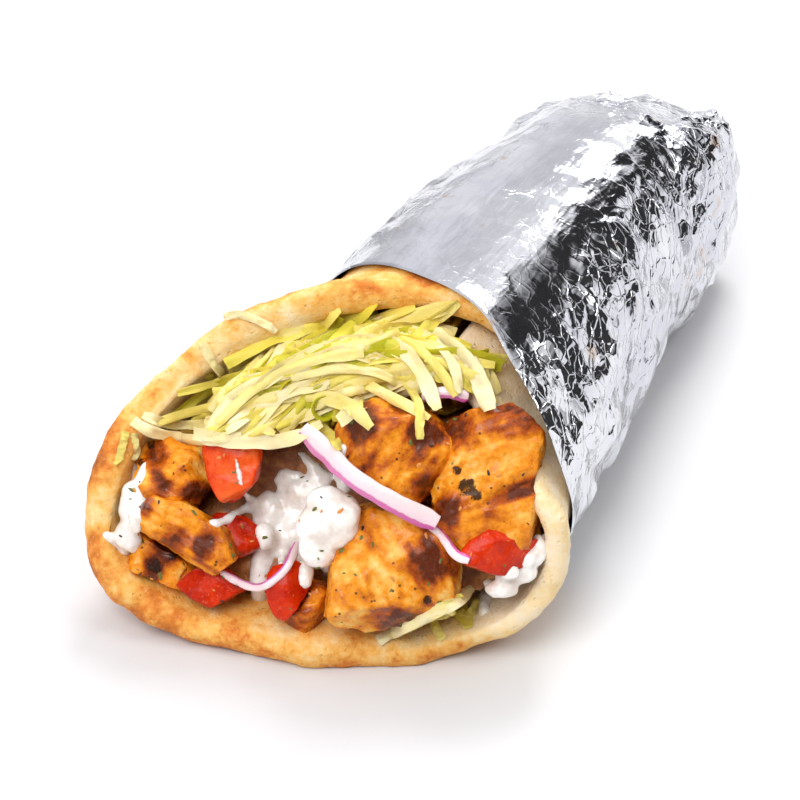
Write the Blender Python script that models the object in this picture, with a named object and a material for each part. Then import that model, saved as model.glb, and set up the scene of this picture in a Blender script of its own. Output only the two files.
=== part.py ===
"""A gyro wrap: a round pita rolled into a cone, packed with chicken and salad, in a foil sleeve.

The roll lies along +Y with its open mouth at the front and its closed foil end at the back. It rests
on a flat strip pressed into its underside. Sizes are in millimetres and turn into metres when a mesh
is made. The origin is the middle of the underside of the whole wrap's box.
"""

import math

import bmesh
import bpy
from mathutils import Matrix, Vector, noise

MM = 0.001

PITA_THICKNESS = 6.5
FOIL_THICKNESS = 0.9
GAP = 0.4  # left between pieces that touch

# The roll's outer skin at places along its length: (along, middle across, half width, height).
STATIONS = (
    (-10, 0, 48, 60),
    (20, 0, 51.5, 66),
    (40, 1.5, 48.5, 70),
    (60, 6, 39, 71),
    (90, 4, 36, 69.5),
    (120, 2.5, 33, 67),
    (150, 1.5, 30.5, 62),
    (175, 1, 27, 56),
    (196, 2.5, 21.5, 47),
)
SECTION_ROUNDNESS = 0.86  # 1 is an ellipse, less is squarer
UNDERSIDE_ROUNDNESS = 0.8  # the same for the underside's height
WAIST = 0.46  # share of the height at which the roll is widest
UNDERSIDE_PRESS = 2.0  # how far the round underside would reach below the table

# The pita's front rim, as (degrees round the roll, distance along it). 0 is the right side and 90 the
# top. The bread starts under the flap at 75, runs down the right side, under, up the left side and
# over the top, and ends as the flap at -320.
PITA_START = 75
PITA_END = -320
PITA_RIM = (
    (-320, 58),
    (-300, 62),
    (-262, 60),
    (-245, 52),
    (-225, 42),
    (-210, 31),
    (-195, 18),
    (-180, 9),
    (-165, 4),
    (-150, 2),
    (-120, 4),
    (-90, 9),
    (-75, 17),
    (-50, 28),
    (-20, 37),
    (15, 40),
    (40, 48),
    (75, 52),
)
PITA_BACK = 184
PITA_STEPS = 40  # facets round the roll

# The foil sleeve's front edge, in the same terms.
FOIL_EDGE = (
    (-320, 54),
    (-305, 55),
    (-285, 61),
    (-270, 64),
    (-230, 70),
    (-180, 74),
    (-90, 68),
    (-45, 62),
    (-10, 56),
    (20, 52),
    (40, 54),
)
FOIL_TAIL = 196
FOIL_LENGTH = 203
FOIL_STEPS = 36  # facets round the sleeve

# The mouth is a slanted plane that recedes upwards. Its pieces are placed from its middle by how far
# they lie across it, up it and proud of it, in a frame turned to face out of the mouth.
MOUTH_MIDDLE = Vector((0, 28, 30))
MOUTH_RECEDES = (0.30, 0.74)  # along the roll, for each step across and each step up
MOUTH_TURN = math.radians(28)
MOUTH_TILT = math.radians(36)

CORE_DEPTH = 8  # the packed filling starts this far behind the mouth plane
HEAP_PROUD = 4  # the lettuce stands this far in front of it
HEAP_FLOOR = 42  # height of the lettuce's underside
FILLING_BACK = 174

# Each piece: across, up, proud, half length, half width, half depth, turn in the mouth plane.
CHICKEN = (
    (13.8, 13.0, 4.0, 12.5, 10.0, 9.5, -36),
    (32.0, 7.5, 0.0, 12.5, 15.0, 10.0, 12),
    (12.3, -12.5, 0.5, 14.5, 13.0, 10.0, 8),
    (-33.4, 6.5, -4.0, 8.8, 8.0, 7.5, 0),
    (-30.6, -5.8, 0.0, 14.5, 5.6, 5.5, -33),
    (-36.0, -12.0, -5.0, 8.5, 6.5, 6.0, -12),
    (-6.5, -20.0, -3.0, 6.5, 5.0, 4.5, -20),
)
TOMATO = (
    (-20.8, 7.7, 1.0, 9.0, 6.6, 5.0, 100),
    (-25.9, -16.5, -2.0, 8.0, 4.8, 3.4, -18),
    (-10.2, -16.2, 2.0, 6.6, 5.0, 4.0, 95),
    (35.0, -8.1, 1.0, 9.6, 5.2, 4.2, 33),
    (-20.7, -4.6, -4.0, 5.5, 5.0, 4.0, 30),
)
# Each onion slice: its width, then the start, middle and end as (across, up, proud).
ONION = (
    (4.2, (-6.0, 17.0, 6.5), (4.0, 4.6, 12.0), (22.0, -2.0, 10.5)),
    (1.8, (13.0, 1.0, 9.5), (22.5, -3.5, 10.0), (28.8, -10.0, 6.5)),
    (2.0, (-23.5, -14.5, 5.0), (-15.0, -16.5, 8.0), (-9.0, -7.5, 8.5)),
    (2.4, (19.5, 24.0, 1.0), (24.0, 26.0, 3.0), (29.0, 24.0, 1.0)),
)
ONION_THICKNESS = 1.3
# Each drop of sauce: across, up, proud, then its three half sizes.
SAUCE = {
    "sauce_middle": (
        (-9.5, 9.5, 5.5, 5.0, 5.5, 3.6),
        (-14.0, 0.0, 6.0, 6.0, 7.0, 3.6),
        (-1.0, 3.0, 9.0, 7.5, 6.0, 4.2),
        (6.0, -1.5, 9.5, 4.5, 5.5, 3.4),
        (-3.0, -8.0, 8.0, 6.0, 5.0, 4.0),
        (-12.5, -10.0, 7.0, 5.0, 6.0, 3.4),
    ),
    "sauce_left": (
        (-43.5, 1.0, 1.5, 4.8, 7.0, 3.8),
        (-44.0, -6.0, 1.5, 4.0, 5.5, 3.8),
        (-38.0, 4.0, 3.0, 4.5, 3.2, 3.2),
    ),
    "sauce_right": (
        (37.0, -15.0, 1.5, 6.5, 4.0, 3.4),
        (41.5, -9.5, 1.5, 4.8, 5.0, 3.2),
    ),
}
SAUCE_VOXEL = 1.1
SAUCE_FACES = 240
LIP_SHREDS = (23.0, -20.5, 3.5, 10.0, 3.4, 2.6, 24)


def smooth(keys, at):
    """The value at a position on the smooth curve through (position, value) keys, without overshoot."""
    if at <= keys[0][0]:
        return keys[0][1]
    if at >= keys[-1][0]:
        return keys[-1][1]
    n = next(n for n in range(len(keys) - 1) if at <= keys[n + 1][0])

    def step(m):
        return (keys[m + 1][1] - keys[m][1]) / (keys[m + 1][0] - keys[m][0])

    def slope(m):
        if m == 0:
            return step(0)
        if m == len(keys) - 1:
            return step(m - 1)
        before, after = step(m - 1), step(m)
        return 2 * before * after / (before + after) if before * after > 0 else 0.0

    width = keys[n + 1][0] - keys[n][0]
    t = (at - keys[n][0]) / width
    return (
        keys[n][1] * (1 + 2 * t) * (1 - t) ** 2
        + keys[n + 1][1] * (3 - 2 * t) * t**2
        + width * t * (1 - t) * (slope(n) * (1 - t) - slope(n + 1) * t)
    )


MIDDLE, HALF_WIDTH, HEIGHT = (tuple((row[0], row[k]) for row in STATIONS) for k in (1, 2, 3))


def skin(angle, along, inset=0.0, floor=None):
    """A point on the roll's skin, moved inwards by inset. The underside is pressed flat at the floor."""
    half = smooth(HALF_WIDTH, along) - inset
    height = smooth(HEIGHT, along)
    waist = WAIST * height
    c, s = math.cos(math.radians(angle)), math.sin(math.radians(angle))
    x = smooth(MIDDLE, along) + half * math.copysign(abs(c) ** SECTION_ROUNDNESS, c)
    if s >= 0:
        z = waist + (height - inset - waist) * s
    else:
        z = waist - (waist - inset + UNDERSIDE_PRESS) * abs(s) ** UNDERSIDE_ROUNDNESS
    return Vector((x, along, max(z, inset if floor is None else floor)))


def steps(start, end, count):
    return [start + (end - start) * n / count for n in range(count + 1)]


def ease(value, low, high):
    """0 below low, 1 above high, and smooth between them."""
    t = min(max((value - low) / (high - low), 0.0), 1.0)
    return t * t * (3 - 2 * t)


def material(name, colour, roughness, metallic=0.0):
    made = bpy.data.materials.new(name)
    made.use_nodes = True
    shader = made.node_tree.nodes["Principled BSDF"]
    shader.inputs["Base Color"].default_value = (*colour, 1.0)
    shader.inputs["Roughness"].default_value = roughness
    shader.inputs["Metallic"].default_value = metallic
    return made


def make_object(name, points, faces, finish):
    """An object from points in millimetres, with its faces turned outwards. The quads are all split the
    same way, so that a piece and its grown copy have matching surfaces.
    """
    mesh = bpy.data.meshes.new(name)
    mesh.from_pydata([point * MM for point in points], [], faces)
    body = bmesh.new()
    body.from_mesh(mesh)
    bmesh.ops.triangulate(body, faces=body.faces, quad_method="FIXED")
    bmesh.ops.recalc_face_normals(body, faces=body.faces)
    body.to_mesh(mesh)
    body.free()
    mesh.shade_smooth()
    mesh.set_sharp_from_angle(angle=math.radians(50))
    mesh.materials.append(finish)
    made = bpy.data.objects.new(name, mesh)
    bpy.context.scene.collection.objects.link(made)
    return made


def strips(rows, columns, closed_columns=False):
    """Quads over a grid of points that is stored row by row."""
    faces = []
    for row in range(rows - 1):
        nearer, further = row * columns, (row + 1) * columns
        for left in range(columns if closed_columns else columns - 1):
            right = (left + 1) % columns
            faces.append((nearer + left, nearer + right, further + right, further + left))
    return faces


def pita_inset(angle, along):
    """How deep the bread's outer face lies under the skin: under the foil, and under its own flap."""
    edge = smooth(FOIL_EDGE, angle if angle <= 40 else angle - 360)
    under_foil = (FOIL_THICKNESS + 3 * GAP) * ease(along, edge - 14, edge - 3)
    under_flap = (PITA_THICKNESS + 3 * GAP) * ease(angle, 2, 36)
    return under_foil + under_flap


def pita(name, finish, grow=0.0):
    """A band of bread that winds once round the roll and overlaps itself, with a rounded front rim."""
    radius = PITA_THICKNESS / 2
    fractions = (0.0, 0.42, 0.68, 0.82, 0.9, 0.95, 1.0)
    bends = [math.pi * n / 4 for n in range(1, 4)]
    more = 0.9 if grow else 0.0  # degrees further at the two ends, which taper
    first = [PITA_START + 3.0 + more, PITA_START + 1.6 + more]
    last = [PITA_END - 1.8 - more, PITA_END - 3.2 - more]
    angles = first + steps(PITA_START, PITA_END, PITA_STEPS) + last
    thin = [0.35, 0.78] + [1.0] * (PITA_STEPS + 1) + [0.78, 0.35]
    points = []
    for angle, thickness in zip(angles, thin):
        at = min(max(angle, PITA_END), PITA_START)
        rim = smooth(PITA_RIM, at) - grow
        wave = 0.7 * noise.noise(Vector((angle * 0.05, 3.1, 0.0)))
        half = radius * thickness + grow
        profile = [(PITA_BACK + grow - (PITA_BACK + grow - rim - radius) * f, -half) for f in fractions]
        profile += [(rim + radius - (radius + grow) * math.sin(b), -half * math.cos(b)) for b in bends]
        profile += [(along, half) for along, _ in reversed(profile[: len(fractions)])]
        for along, depth in profile:
            inset = pita_inset(at, along) + radius + depth
            if not grow:
                inset = max(inset, 0.0)
            points.append(skin(angle, along + wave * (1 - ease(along, rim, rim + 30)), inset))
    columns = 2 * len(fractions) + len(bends)
    faces = strips(len(angles), columns, closed_columns=True)
    for row in (0, len(angles) - 1):
        first = row * columns
        for n in range(columns // 2 - 1):
            faces.append((first + n, first + n + 1, first + columns - 2 - n, first + columns - 1 - n))
        middle = columns // 2
        faces.append((first + middle - 1, first + middle, first + middle + 1))
    return make_object(name, points, faces, finish)


def foil(name, finish):
    """A sleeve with an open slanted front and a crumpled, closed back end."""
    angles = [360 * n / FOIL_STEPS for n in range(FOIL_STEPS)]
    fractions = (0.0, 0.07, 0.16, 0.28, 0.48, 0.68, 0.86, 1.0)
    closing = ((0.82, 0.45), (0.5, 0.85))
    rings = len(fractions) + len(closing)

    def stands_off(angle, along, edge):
        """How far the foil stands off the roll: a little at its front edge, and crumpled near its tail."""
        turn = math.radians(angle)
        spot = Vector((math.cos(turn) * 2.2, math.sin(turn) * 2.2, along * 0.09))
        crumple = 2.2 * max(0.5 + noise.noise(spot), 0.0) * ease(along, 150, 190)
        return crumple + 1.0 * (1 - ease(along, edge + 6, edge + 30))

    def wall(inset, tail, length):
        made = []
        for fraction in fractions:
            for angle in angles:
                edge = smooth(FOIL_EDGE, angle if angle <= 40 else angle - 360)
                along = edge + (tail - edge) * fraction
                made.append(skin(angle, along, inset - stands_off(angle, along, edge), inset))
        last = made[-len(angles) :]
        centre = Vector((smooth(MIDDLE, tail), 0, WAIST * smooth(HEIGHT, tail)))
        for scale, forward in closing:
            for point in last:
                moved = centre + (point - centre) * scale
                bump = 1.2 * noise.noise(point * 0.11 + Vector((0, scale * 9, 0)))
                made.append(Vector((moved.x, tail + (length - tail) * forward + bump, moved.z)))
        made.append(Vector((centre.x, length, centre.z)))
        return made

    outer = wall(0.0, FOIL_TAIL, FOIL_LENGTH)
    inner = wall(FOIL_THICKNESS, FOIL_TAIL - FOIL_THICKNESS, FOIL_LENGTH - FOIL_THICKNESS)
    points = outer + inner
    around = len(angles)
    faces = strips(rings, around, closed_columns=True)
    faces += [tuple(index + len(outer) for index in face) for face in faces]
    for offset in (0, len(outer)):
        last = offset + (rings - 1) * around
        tip = offset + rings * around
        faces += [(last + n, last + (n + 1) % around, tip) for n in range(around)]
    faces += [(n, (n + 1) % around, len(outer) + (n + 1) % around, len(outer) + n) for n in range(around)]
    return make_object(name, points, faces, finish)


MOUTH_RIGHT = Vector((math.cos(MOUTH_TURN), math.sin(MOUTH_TURN), 0))
MOUTH_OUT = Vector(
    (
        math.sin(MOUTH_TURN) * math.cos(MOUTH_TILT),
        -math.cos(MOUTH_TURN) * math.cos(MOUTH_TILT),
        math.sin(MOUTH_TILT),
    )
)
MOUTH_UP = MOUTH_OUT.cross(MOUTH_RIGHT)
MOUTH_FRAME = Matrix((MOUTH_RIGHT, MOUTH_UP, MOUTH_OUT)).transposed()


def mouth_point(across, up, proud):
    """The place in the roll's frame of a point given in the mouth's own terms."""
    normal = Vector((-MOUTH_RECEDES[0], 1, -MOUTH_RECEDES[1]))
    flat = MOUTH_RIGHT * across + MOUTH_UP * up
    return MOUTH_MIDDLE + flat + MOUTH_OUT * (proud - normal.dot(flat) / normal.dot(MOUTH_OUT))


def chunk(name, finish, row, grow=0.0, squareness=3.0, lumps=0.16, wedge=0.0, cuts=3):
    """A rounded block with uneven faces. A wedge narrows towards one long side, like a cut of tomato."""
    across, up, proud, *halves, turn = row
    body = bmesh.new()
    bmesh.ops.create_cube(body, size=2.0)
    bmesh.ops.subdivide_edges(body, edges=body.edges, cuts=cuts, use_grid_fill=True)
    directions = [vertex.co.normalized() for vertex in body.verts]
    faces = [tuple(vertex.index for vertex in face.verts) for face in body.faces]
    body.free()
    placing = MOUTH_FRAME @ Matrix.Rotation(math.radians(turn), 3, "Z")
    spot = mouth_point(across, up, proud)
    points = []
    for way in directions:
        reach = sum(abs(part) ** squareness for part in way) ** (-1 / squareness)
        reach *= 1 + lumps * noise.noise(way * 1.3 + Vector((across, up, proud)) * 0.37)
        local = Vector(way[k] * reach * (halves[k] + grow) for k in range(3))
        if wedge:
            local.z *= 1 - wedge * (0.5 + 0.5 * local.y / halves[1])
        points.append(spot + placing @ local)
    return make_object(name, points, faces, finish)


def onion(name, finish, row, grow=0.0):
    """A thin slice of an onion ring: a flat strip bent through three places."""
    width, *ends = row
    start, middle, end = (mouth_point(*place) for place in ends)
    bend = middle * 2 - (start + end) / 2
    points, count = [], 14
    for t in steps(0, 1, count):
        spot = start * (1 - t) ** 2 + bend * (2 * t * (1 - t)) + end * t**2
        way = ((bend - start) * (1 - t) + (end - bend) * t).normalized()
        side = way.cross(MOUTH_OUT).normalized()
        out = side.cross(way)
        narrow = math.sqrt(max(1 - (2 * t - 1) ** 6, 0.12))
        half = width / 2 * narrow + grow
        deep = ONION_THICKNESS / 2 + grow
        reach = grow * (2 * t - 1)
        for n in range(8):
            turn = math.tau * (n + 0.5) / 8
            points.append(spot + way * reach + side * half * math.cos(turn) + out * deep * math.sin(turn))
    faces = strips(count + 1, 8, closed_columns=True)
    faces += [tuple(range(8)), tuple(count * 8 + n for n in reversed(range(8)))]
    return make_object(name, points, faces, finish)


def sauce(name, finish, drops, grow=0.0):
    """Thick drops run together into one body. It grows by twice as much, as thinning out its faces moves
    them a little.
    """
    body = bmesh.new()
    for across, up, proud, *halves in drops:
        ball = bmesh.ops.create_icosphere(body, subdivisions=3, radius=1.0)["verts"]
        size = Matrix.Diagonal(Vector(half + 2 * grow for half in halves)).to_4x4()
        turned = Matrix.Translation(mouth_point(across, up, proud)) @ MOUTH_FRAME.to_4x4() @ size
        bmesh.ops.transform(body, matrix=turned, verts=ball)
    points = [vertex.co.copy() for vertex in body.verts]
    faces = [tuple(vertex.index for vertex in face.verts) for face in body.faces]
    body.free()
    made = make_object(name, points, faces, finish)
    remesh = made.modifiers.new("run together", "REMESH")
    remesh.mode = "VOXEL"
    remesh.voxel_size = SAUCE_VOXEL * MM
    settle(made)
    thinner = made.modifiers.new("fewer faces", "DECIMATE")
    thinner.ratio = min(1.0, SAUCE_FACES / (2 * len(made.data.polygons)))
    settle(made)
    return made


def plug(name, finish, inset):
    """What fills the roll, a gap inside the bread, from in front of the mouth to the back."""
    around, rows = 26, 7
    points = []
    for along in steps(-8, FILLING_BACK, rows):
        points += [skin(360 * n / around, along, inset) for n in range(around)]
    faces = strips(rows + 1, around, closed_columns=True)
    faces += [tuple(range(around)), tuple(rows * around + n for n in reversed(range(around)))]
    return make_object(name, points, faces, finish)


def uneven_block(name, finish, corner, size, counts, place, thickness):
    """A block whose first face is an uneven sheet: place gives a point from two grid sizes and a depth."""
    low, high = [], []
    for v in steps(corner[1], corner[1] + size[1], counts[1]):
        for u in steps(corner[0], corner[0] + size[0], counts[0]):
            low.append(place(u, v, 0.0))
            high.append(place(u, v, thickness))
    wide, deep = counts[0] + 1, counts[1] + 1
    sheet = strips(deep, wide)
    faces = sheet + [tuple(index + len(low) for index in reversed(face)) for face in sheet]
    border = list(range(wide)) + [row * wide + wide - 1 for row in range(1, deep)]
    border += [(deep - 1) * wide + n for n in range(wide - 2, -1, -1)]
    border += [row * wide for row in range(deep - 2, 0, -1)]
    for here, there in zip(border, border[1:] + border[:1]):
        faces.append((here, there, there + len(low), here + len(low)))
    return as_cutter(make_object(name, low + high, faces, finish))


def above_filling(name, finish, lowered):
    """Everything above the uneven level that the lettuce lies on."""

    def place(x, along, rise):
        wave = 2.2 * noise.noise(Vector((x * 0.07, along * 0.05, 1.7)))
        level = HEAP_FLOOR + 0.1 * x + wave - lowered
        return Vector((x, along, 130 if rise else level))

    return uneven_block(name, finish, (-70, -20), (140, 220), (10, 9), place, 1)


def before_mouth(name, finish, proud, unevenness):
    """Everything in front of the uneven face that the filling shows at the mouth."""

    def place(across, up, out):
        bump = unevenness * noise.noise(Vector((across * 0.11, up * 0.11, 5.3)))
        return mouth_point(across, up, proud + bump + out)

    return uneven_block(name, finish, (-75, -75), (150, 150), (17, 17), place, 150)


def settle(body):
    """Applies an object's modifiers and keeps the largest piece that they leave."""
    graph = bpy.context.evaluated_depsgraph_get()
    mesh = bpy.data.meshes.new_from_object(body.evaluated_get(graph))
    body.modifiers.clear()
    body.data = mesh
    work = bmesh.new()
    work.from_mesh(mesh)
    bmesh.ops.remove_doubles(work, verts=work.verts, dist=1e-6)
    left, islands = set(work.faces), []
    while left:
        island, edge = set(), [left.pop()]
        while edge:
            face = edge.pop()
            island.add(face)
            plain = [side for side in face.edges if len(side.link_faces) == 2]
            for neighbour in (other for side in plain for other in side.link_faces):
                if neighbour in left:
                    left.remove(neighbour)
                    edge.append(neighbour)
        islands.append(island)
    islands.sort(key=lambda island: sum(face.calc_area() for face in island))
    loose = [face for island in islands[:-1] for face in island]
    bmesh.ops.delete(work, geom=loose, context="FACES")
    bmesh.ops.delete(work, geom=[vertex for vertex in work.verts if not vertex.link_faces], context="VERTS")
    work.to_mesh(mesh)
    work.free()


def carve(body, cutters, operation="DIFFERENCE", solver="EXACT"):
    """Cuts an object back from its neighbours' grown copies, which keeps a gap all round them."""
    for cutter in cutters:
        cut = body.modifiers.new(f"clear of {cutter.name}", "BOOLEAN")
        cut.operation = operation
        cut.solver = solver
        cut.object = cutter
    settle(body)


def as_cutter(body):
    body.hide_render = True
    body.display_type = "WIRE"
    return body


def clear_scene():
    for old in list(bpy.data.objects):
        bpy.data.objects.remove(old)


def build():
    clear_scene()
    foil_finish = material("foil", (0.8, 0.81, 0.83), 0.25, 1.0)
    bread = material("pita", (0.78, 0.55, 0.31), 0.75)
    meat = material("chicken", (0.62, 0.36, 0.15), 0.5)
    red = material("tomato", (0.62, 0.08, 0.03), 0.3)
    purple = material("onion", (0.82, 0.68, 0.76), 0.35)
    white = material("sauce", (0.86, 0.85, 0.8), 0.3)
    leaf = material("lettuce", (0.72, 0.76, 0.42), 0.45)
    packed = material("filling", (0.5, 0.36, 0.2), 0.6)

    nodes = [foil("foil", foil_finish), pita("pita", bread)]
    cutters = [as_cutter(pita("pita cutter", bread, GAP))]

    def add(name, shape, finish, row, **form):
        made = shape(name, finish, row, **form)
        carve(made, cutters)
        nodes.append(made)
        return as_cutter(shape(f"{name} cutter", finish, row, grow=GAP, **form))

    for n, row in enumerate(ONION, 1):
        cutters.append(add(f"onion_{n}", onion, purple, row))
    for n, row in enumerate(TOMATO, 1):
        cutters.append(add(f"tomato_{n}", chunk, red, row, squareness=2.5, lumps=0.06, wedge=0.5))
    for n, row in enumerate(CHICKEN, 1):
        cutters.append(add(f"chicken_{n}", chunk, meat, row, cuts=4 if row[4] > 9 else 3))
    for name, drops in SAUCE.items():
        cutters.append(add(name, sauce, white, drops))
    cutters.append(add("lettuce_on_lip", chunk, leaf, LIP_SHREDS, cuts=2))

    inset = PITA_THICKNESS + FOIL_THICKNESS + 4 * GAP
    lettuce = plug("lettuce", leaf, inset)
    carve(lettuce, [above_filling("above the filling", leaf, 0.0)], "INTERSECT")
    carve(lettuce, [before_mouth("before the lettuce", leaf, HEAP_PROUD, 5.0)] + cutters, solver="MANIFOLD")
    core = plug("filling_core", packed, inset)
    carve(core, [above_filling("above the filling, with a gap", leaf, GAP)])
    in_front = before_mouth("before the packed filling", leaf, -CORE_DEPTH, 2.0)
    carve(core, [in_front] + cutters, solver="MANIFOLD")
    nodes += [lettuce, core]

    wrap = bpy.data.objects.new("wrap", None)
    bpy.context.scene.collection.objects.link(wrap)
    corners = [vertex.co for node in nodes for vertex in node.data.vertices]
    low = [min(corner[k] for corner in corners) for k in range(3)]
    high = [max(corner[k] for corner in corners) for k in range(3)]
    wrap.location = (-(low[0] + high[0]) / 2, -(low[1] + high[1]) / 2, -low[2])
    for node in nodes:
        node.parent = wrap


build()
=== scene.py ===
import math
import random
from itertools import product

import bmesh
import bpy
import numpy as np
from mathutils import Matrix, Vector, geometry
from mathutils.bvhtree import BVHTree


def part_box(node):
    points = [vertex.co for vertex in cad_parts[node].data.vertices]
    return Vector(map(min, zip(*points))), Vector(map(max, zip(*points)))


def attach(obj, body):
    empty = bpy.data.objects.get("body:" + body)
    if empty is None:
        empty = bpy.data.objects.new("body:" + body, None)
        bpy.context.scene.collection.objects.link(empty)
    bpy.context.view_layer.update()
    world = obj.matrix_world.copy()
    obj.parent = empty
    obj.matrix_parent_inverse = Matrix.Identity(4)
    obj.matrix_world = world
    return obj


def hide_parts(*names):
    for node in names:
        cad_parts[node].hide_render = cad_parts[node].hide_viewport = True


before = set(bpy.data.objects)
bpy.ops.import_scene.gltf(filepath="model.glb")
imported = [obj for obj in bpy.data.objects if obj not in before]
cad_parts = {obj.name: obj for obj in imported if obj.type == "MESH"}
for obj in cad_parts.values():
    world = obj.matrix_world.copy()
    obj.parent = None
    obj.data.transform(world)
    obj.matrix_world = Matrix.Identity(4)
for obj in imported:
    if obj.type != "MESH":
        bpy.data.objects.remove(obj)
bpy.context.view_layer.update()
mm = 0.001

# The roll in its own frame, in mm: y along it from the mouth, z up from the table.
roll = {
    "stations": (  # along, middle, half width, height
        (-10, 0, 48, 60), (20, 0, 51.5, 66), (40, 1.5, 48.5, 70), (60, 6, 39, 71), (90, 4, 36, 69.5),
        (120, 2.5, 33, 67), (150, 1.5, 30.5, 62), (175, 1, 27, 56), (196, 2.5, 21.5, 47),
    ),
    "roundness": 0.86,
    "underRoundness": 0.8,
    "waist": 0.46,  # where the sides stand furthest out, as a share of the height
    "press": 2.0,
    "gap": 0.4,
    "back": 184,  # where the bread ends
    "acrossMiddle": -0.856,  # where the row's frame stands in the roll's
}
middleAt, halfWidthAt, heightAt = (tuple((row[0], row[n]) for row in roll["stations"]) for n in (1, 2, 3))

mouth = {
    "middle": (0, 28, 30),
    "recedes": (0.30, 0.74),  # along the roll, for each step across and each step up
    "turn": 28,
    "tilt": 36,
}


def colour(red, green, blue):
    # a colour as a painter's 0 to 255 values, made linear
    shares = (value / 255 for value in (red, green, blue))
    return tuple(((v + 0.055) / 1.055) ** 2.4 if v > 0.04 else v / 12.92 for v in shares)


def curve(keys, at):
    # values on the smooth curve through (place, value) keys, flat beyond its ends
    places, values = (np.array(column, float) for column in zip(*keys))
    at = np.clip(at, places[0], places[-1])
    step = np.diff(values) / np.diff(places)
    both = step[:-1] * step[1:]
    inner = np.where(both > 0, 2 * both / np.where(both > 0, step[:-1] + step[1:], 1), 0)
    slope = np.concatenate(([step[0]], inner, [step[-1]]))
    n = np.clip(np.searchsorted(places, at, side="right") - 1, 0, len(step) - 1)
    width = np.diff(places)[n]
    t = (at - places[n]) / width
    return (
        values[n] * (1 + 2 * t) * (1 - t) ** 2
        + values[n + 1] * (3 - 2 * t) * t**2
        + width * t * (1 - t) * (slope[n] * (1 - t) - slope[n + 1] * t)
    )


def ease(value, low, high):
    # 0 below low, 1 above high, and smooth between them
    t = np.clip((value - low) / (high - low), 0, 1)
    return t * t * (3 - 2 * t)


def skin(angle, along, inset=0.0, floor=None):
    # points on the roll's skin, moved in by inset; the underside is pressed flat on the table
    half = curve(halfWidthAt, along) - inset
    height = curve(heightAt, along)
    waist = roll["waist"] * height
    c, s = np.cos(np.radians(angle)), np.sin(np.radians(angle))
    x = curve(middleAt, along) + half * np.sign(c) * np.abs(c) ** roll["roundness"]
    above = waist + (height - inset - waist) * s
    below = waist - (waist - inset + roll["press"]) * np.abs(s) ** roll["underRoundness"]
    z = np.maximum(np.where(s >= 0, above, below), inset if floor is None else floor)
    return np.stack(np.broadcast_arrays(x, along, z), -1)


def bumps(points, size, seed=0):
    # smooth random values from -1 to 1, with bumps about as large as size
    at = np.asarray(points, float) / size + seed * 17.31
    cell = np.floor(at).astype(np.int64)
    t = at - cell
    t = t * t * t * (t * (t * 6 - 15) + 10)
    total = np.zeros(len(at))
    for corner in product((0, 1), repeat=3):
        where = (cell + corner) * (73856093, 19349663, 83492791)
        mixed = where[:, 0] ^ where[:, 1] ^ where[:, 2] ^ (seed * 7919)
        mixed = ((mixed & 0xFFFFFFFF) * 1274126177) & 0xFFFFFFFF
        mixed = ((mixed ^ (mixed >> 15)) * 2246822519) & 0xFFFFFFFF
        value = (mixed ^ (mixed >> 13)) % 65536 / 32767.5 - 1
        total += value * np.prod(np.where(corner, t, 1 - t), axis=1)
    return total


def layered(points, layers, extra=0):
    # bumps of several sizes together, from the height, size and seed of each
    return sum(height * bumps(points, size, seed + extra) for height, size, seed in layers)


shift = Vector((-roll["acrossMiddle"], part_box("pita")[1].y / mm - roll["back"], 0)) * mm
mouthTurn, mouthTilt = math.radians(mouth["turn"]), math.radians(mouth["tilt"])
mouthRight = Vector((math.cos(mouthTurn), math.sin(mouthTurn), 0))
mouthLevel = math.cos(mouthTilt)
mouthOut = Vector((math.sin(mouthTurn) * mouthLevel, -math.cos(mouthTurn) * mouthLevel, math.sin(mouthTilt)))
mouthUp = mouthOut.cross(mouthRight)
mouthNormal = Vector((-mouth["recedes"][0], 1, -mouth["recedes"][1]))
mouthFacing = Matrix((mouthRight, mouthUp, mouthOut)).transposed()
lookFrom = 45  # rays that find the surface start this far proud of the mouth, in mm


def mouthWay(turn):
    # the direction in the mouth's plane that lies this far round from its right, in radians
    return mouthRight * math.cos(turn) + mouthUp * math.sin(turn)


def mouthPoint(across, up, proud=0.0):
    # a place in the row's frame, from how far it lies across the mouth, up it and proud of it, in mm
    flat = mouthRight * across + mouthUp * up
    back = mouthNormal.dot(flat) / mouthNormal.dot(mouthOut)
    return (Vector(mouth["middle"]) + flat + mouthOut * (proud - back)) * mm + shift


def gridFaces(rows, columns, closedColumns=False):
    # quads over a grid of points that is stored row by row
    across = np.arange(columns if closedColumns else columns - 1)
    row, column = (grid.ravel() for grid in np.meshgrid(np.arange(rows - 1), across, indexing="ij"))
    right, first, second = (column + 1) % columns, row * columns, (row + 1) * columns
    return np.stack((first + column, first + right, second + right, second + column), -1).tolist()


def makePiece(name, points, faces, look, slot, replaced=(), **values):
    # an object from points in the row's frame, with one number for each point under each extra name
    mesh = bpy.data.meshes.new(name)
    mesh.from_pydata(np.asarray(points).tolist(), [], faces)
    return finishPiece(name, mesh, look, slot, replaced, **values)


def finishPiece(name, mesh, look, slot, replaced=(), crisp=None, **values):
    for key, numbers in values.items():
        mesh.attributes.new(key, "FLOAT", "POINT").data.foreach_set("value", np.asarray(numbers, np.float32))
    body = bmesh.new()
    body.from_mesh(mesh)
    bmesh.ops.recalc_face_normals(body, faces=body.faces)
    body.to_mesh(mesh)
    body.free()
    mesh.shade_smooth()
    if crisp:
        mesh.set_sharp_from_angle(angle=math.radians(crisp))
    mesh.materials.clear()
    mesh.materials.append(look)
    piece = bpy.data.objects.new(name, mesh)
    bpy.context.scene.collection.objects.link(piece)
    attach(piece, "root")
    if replaced:
        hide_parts(*replaced)
    return piece


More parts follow.
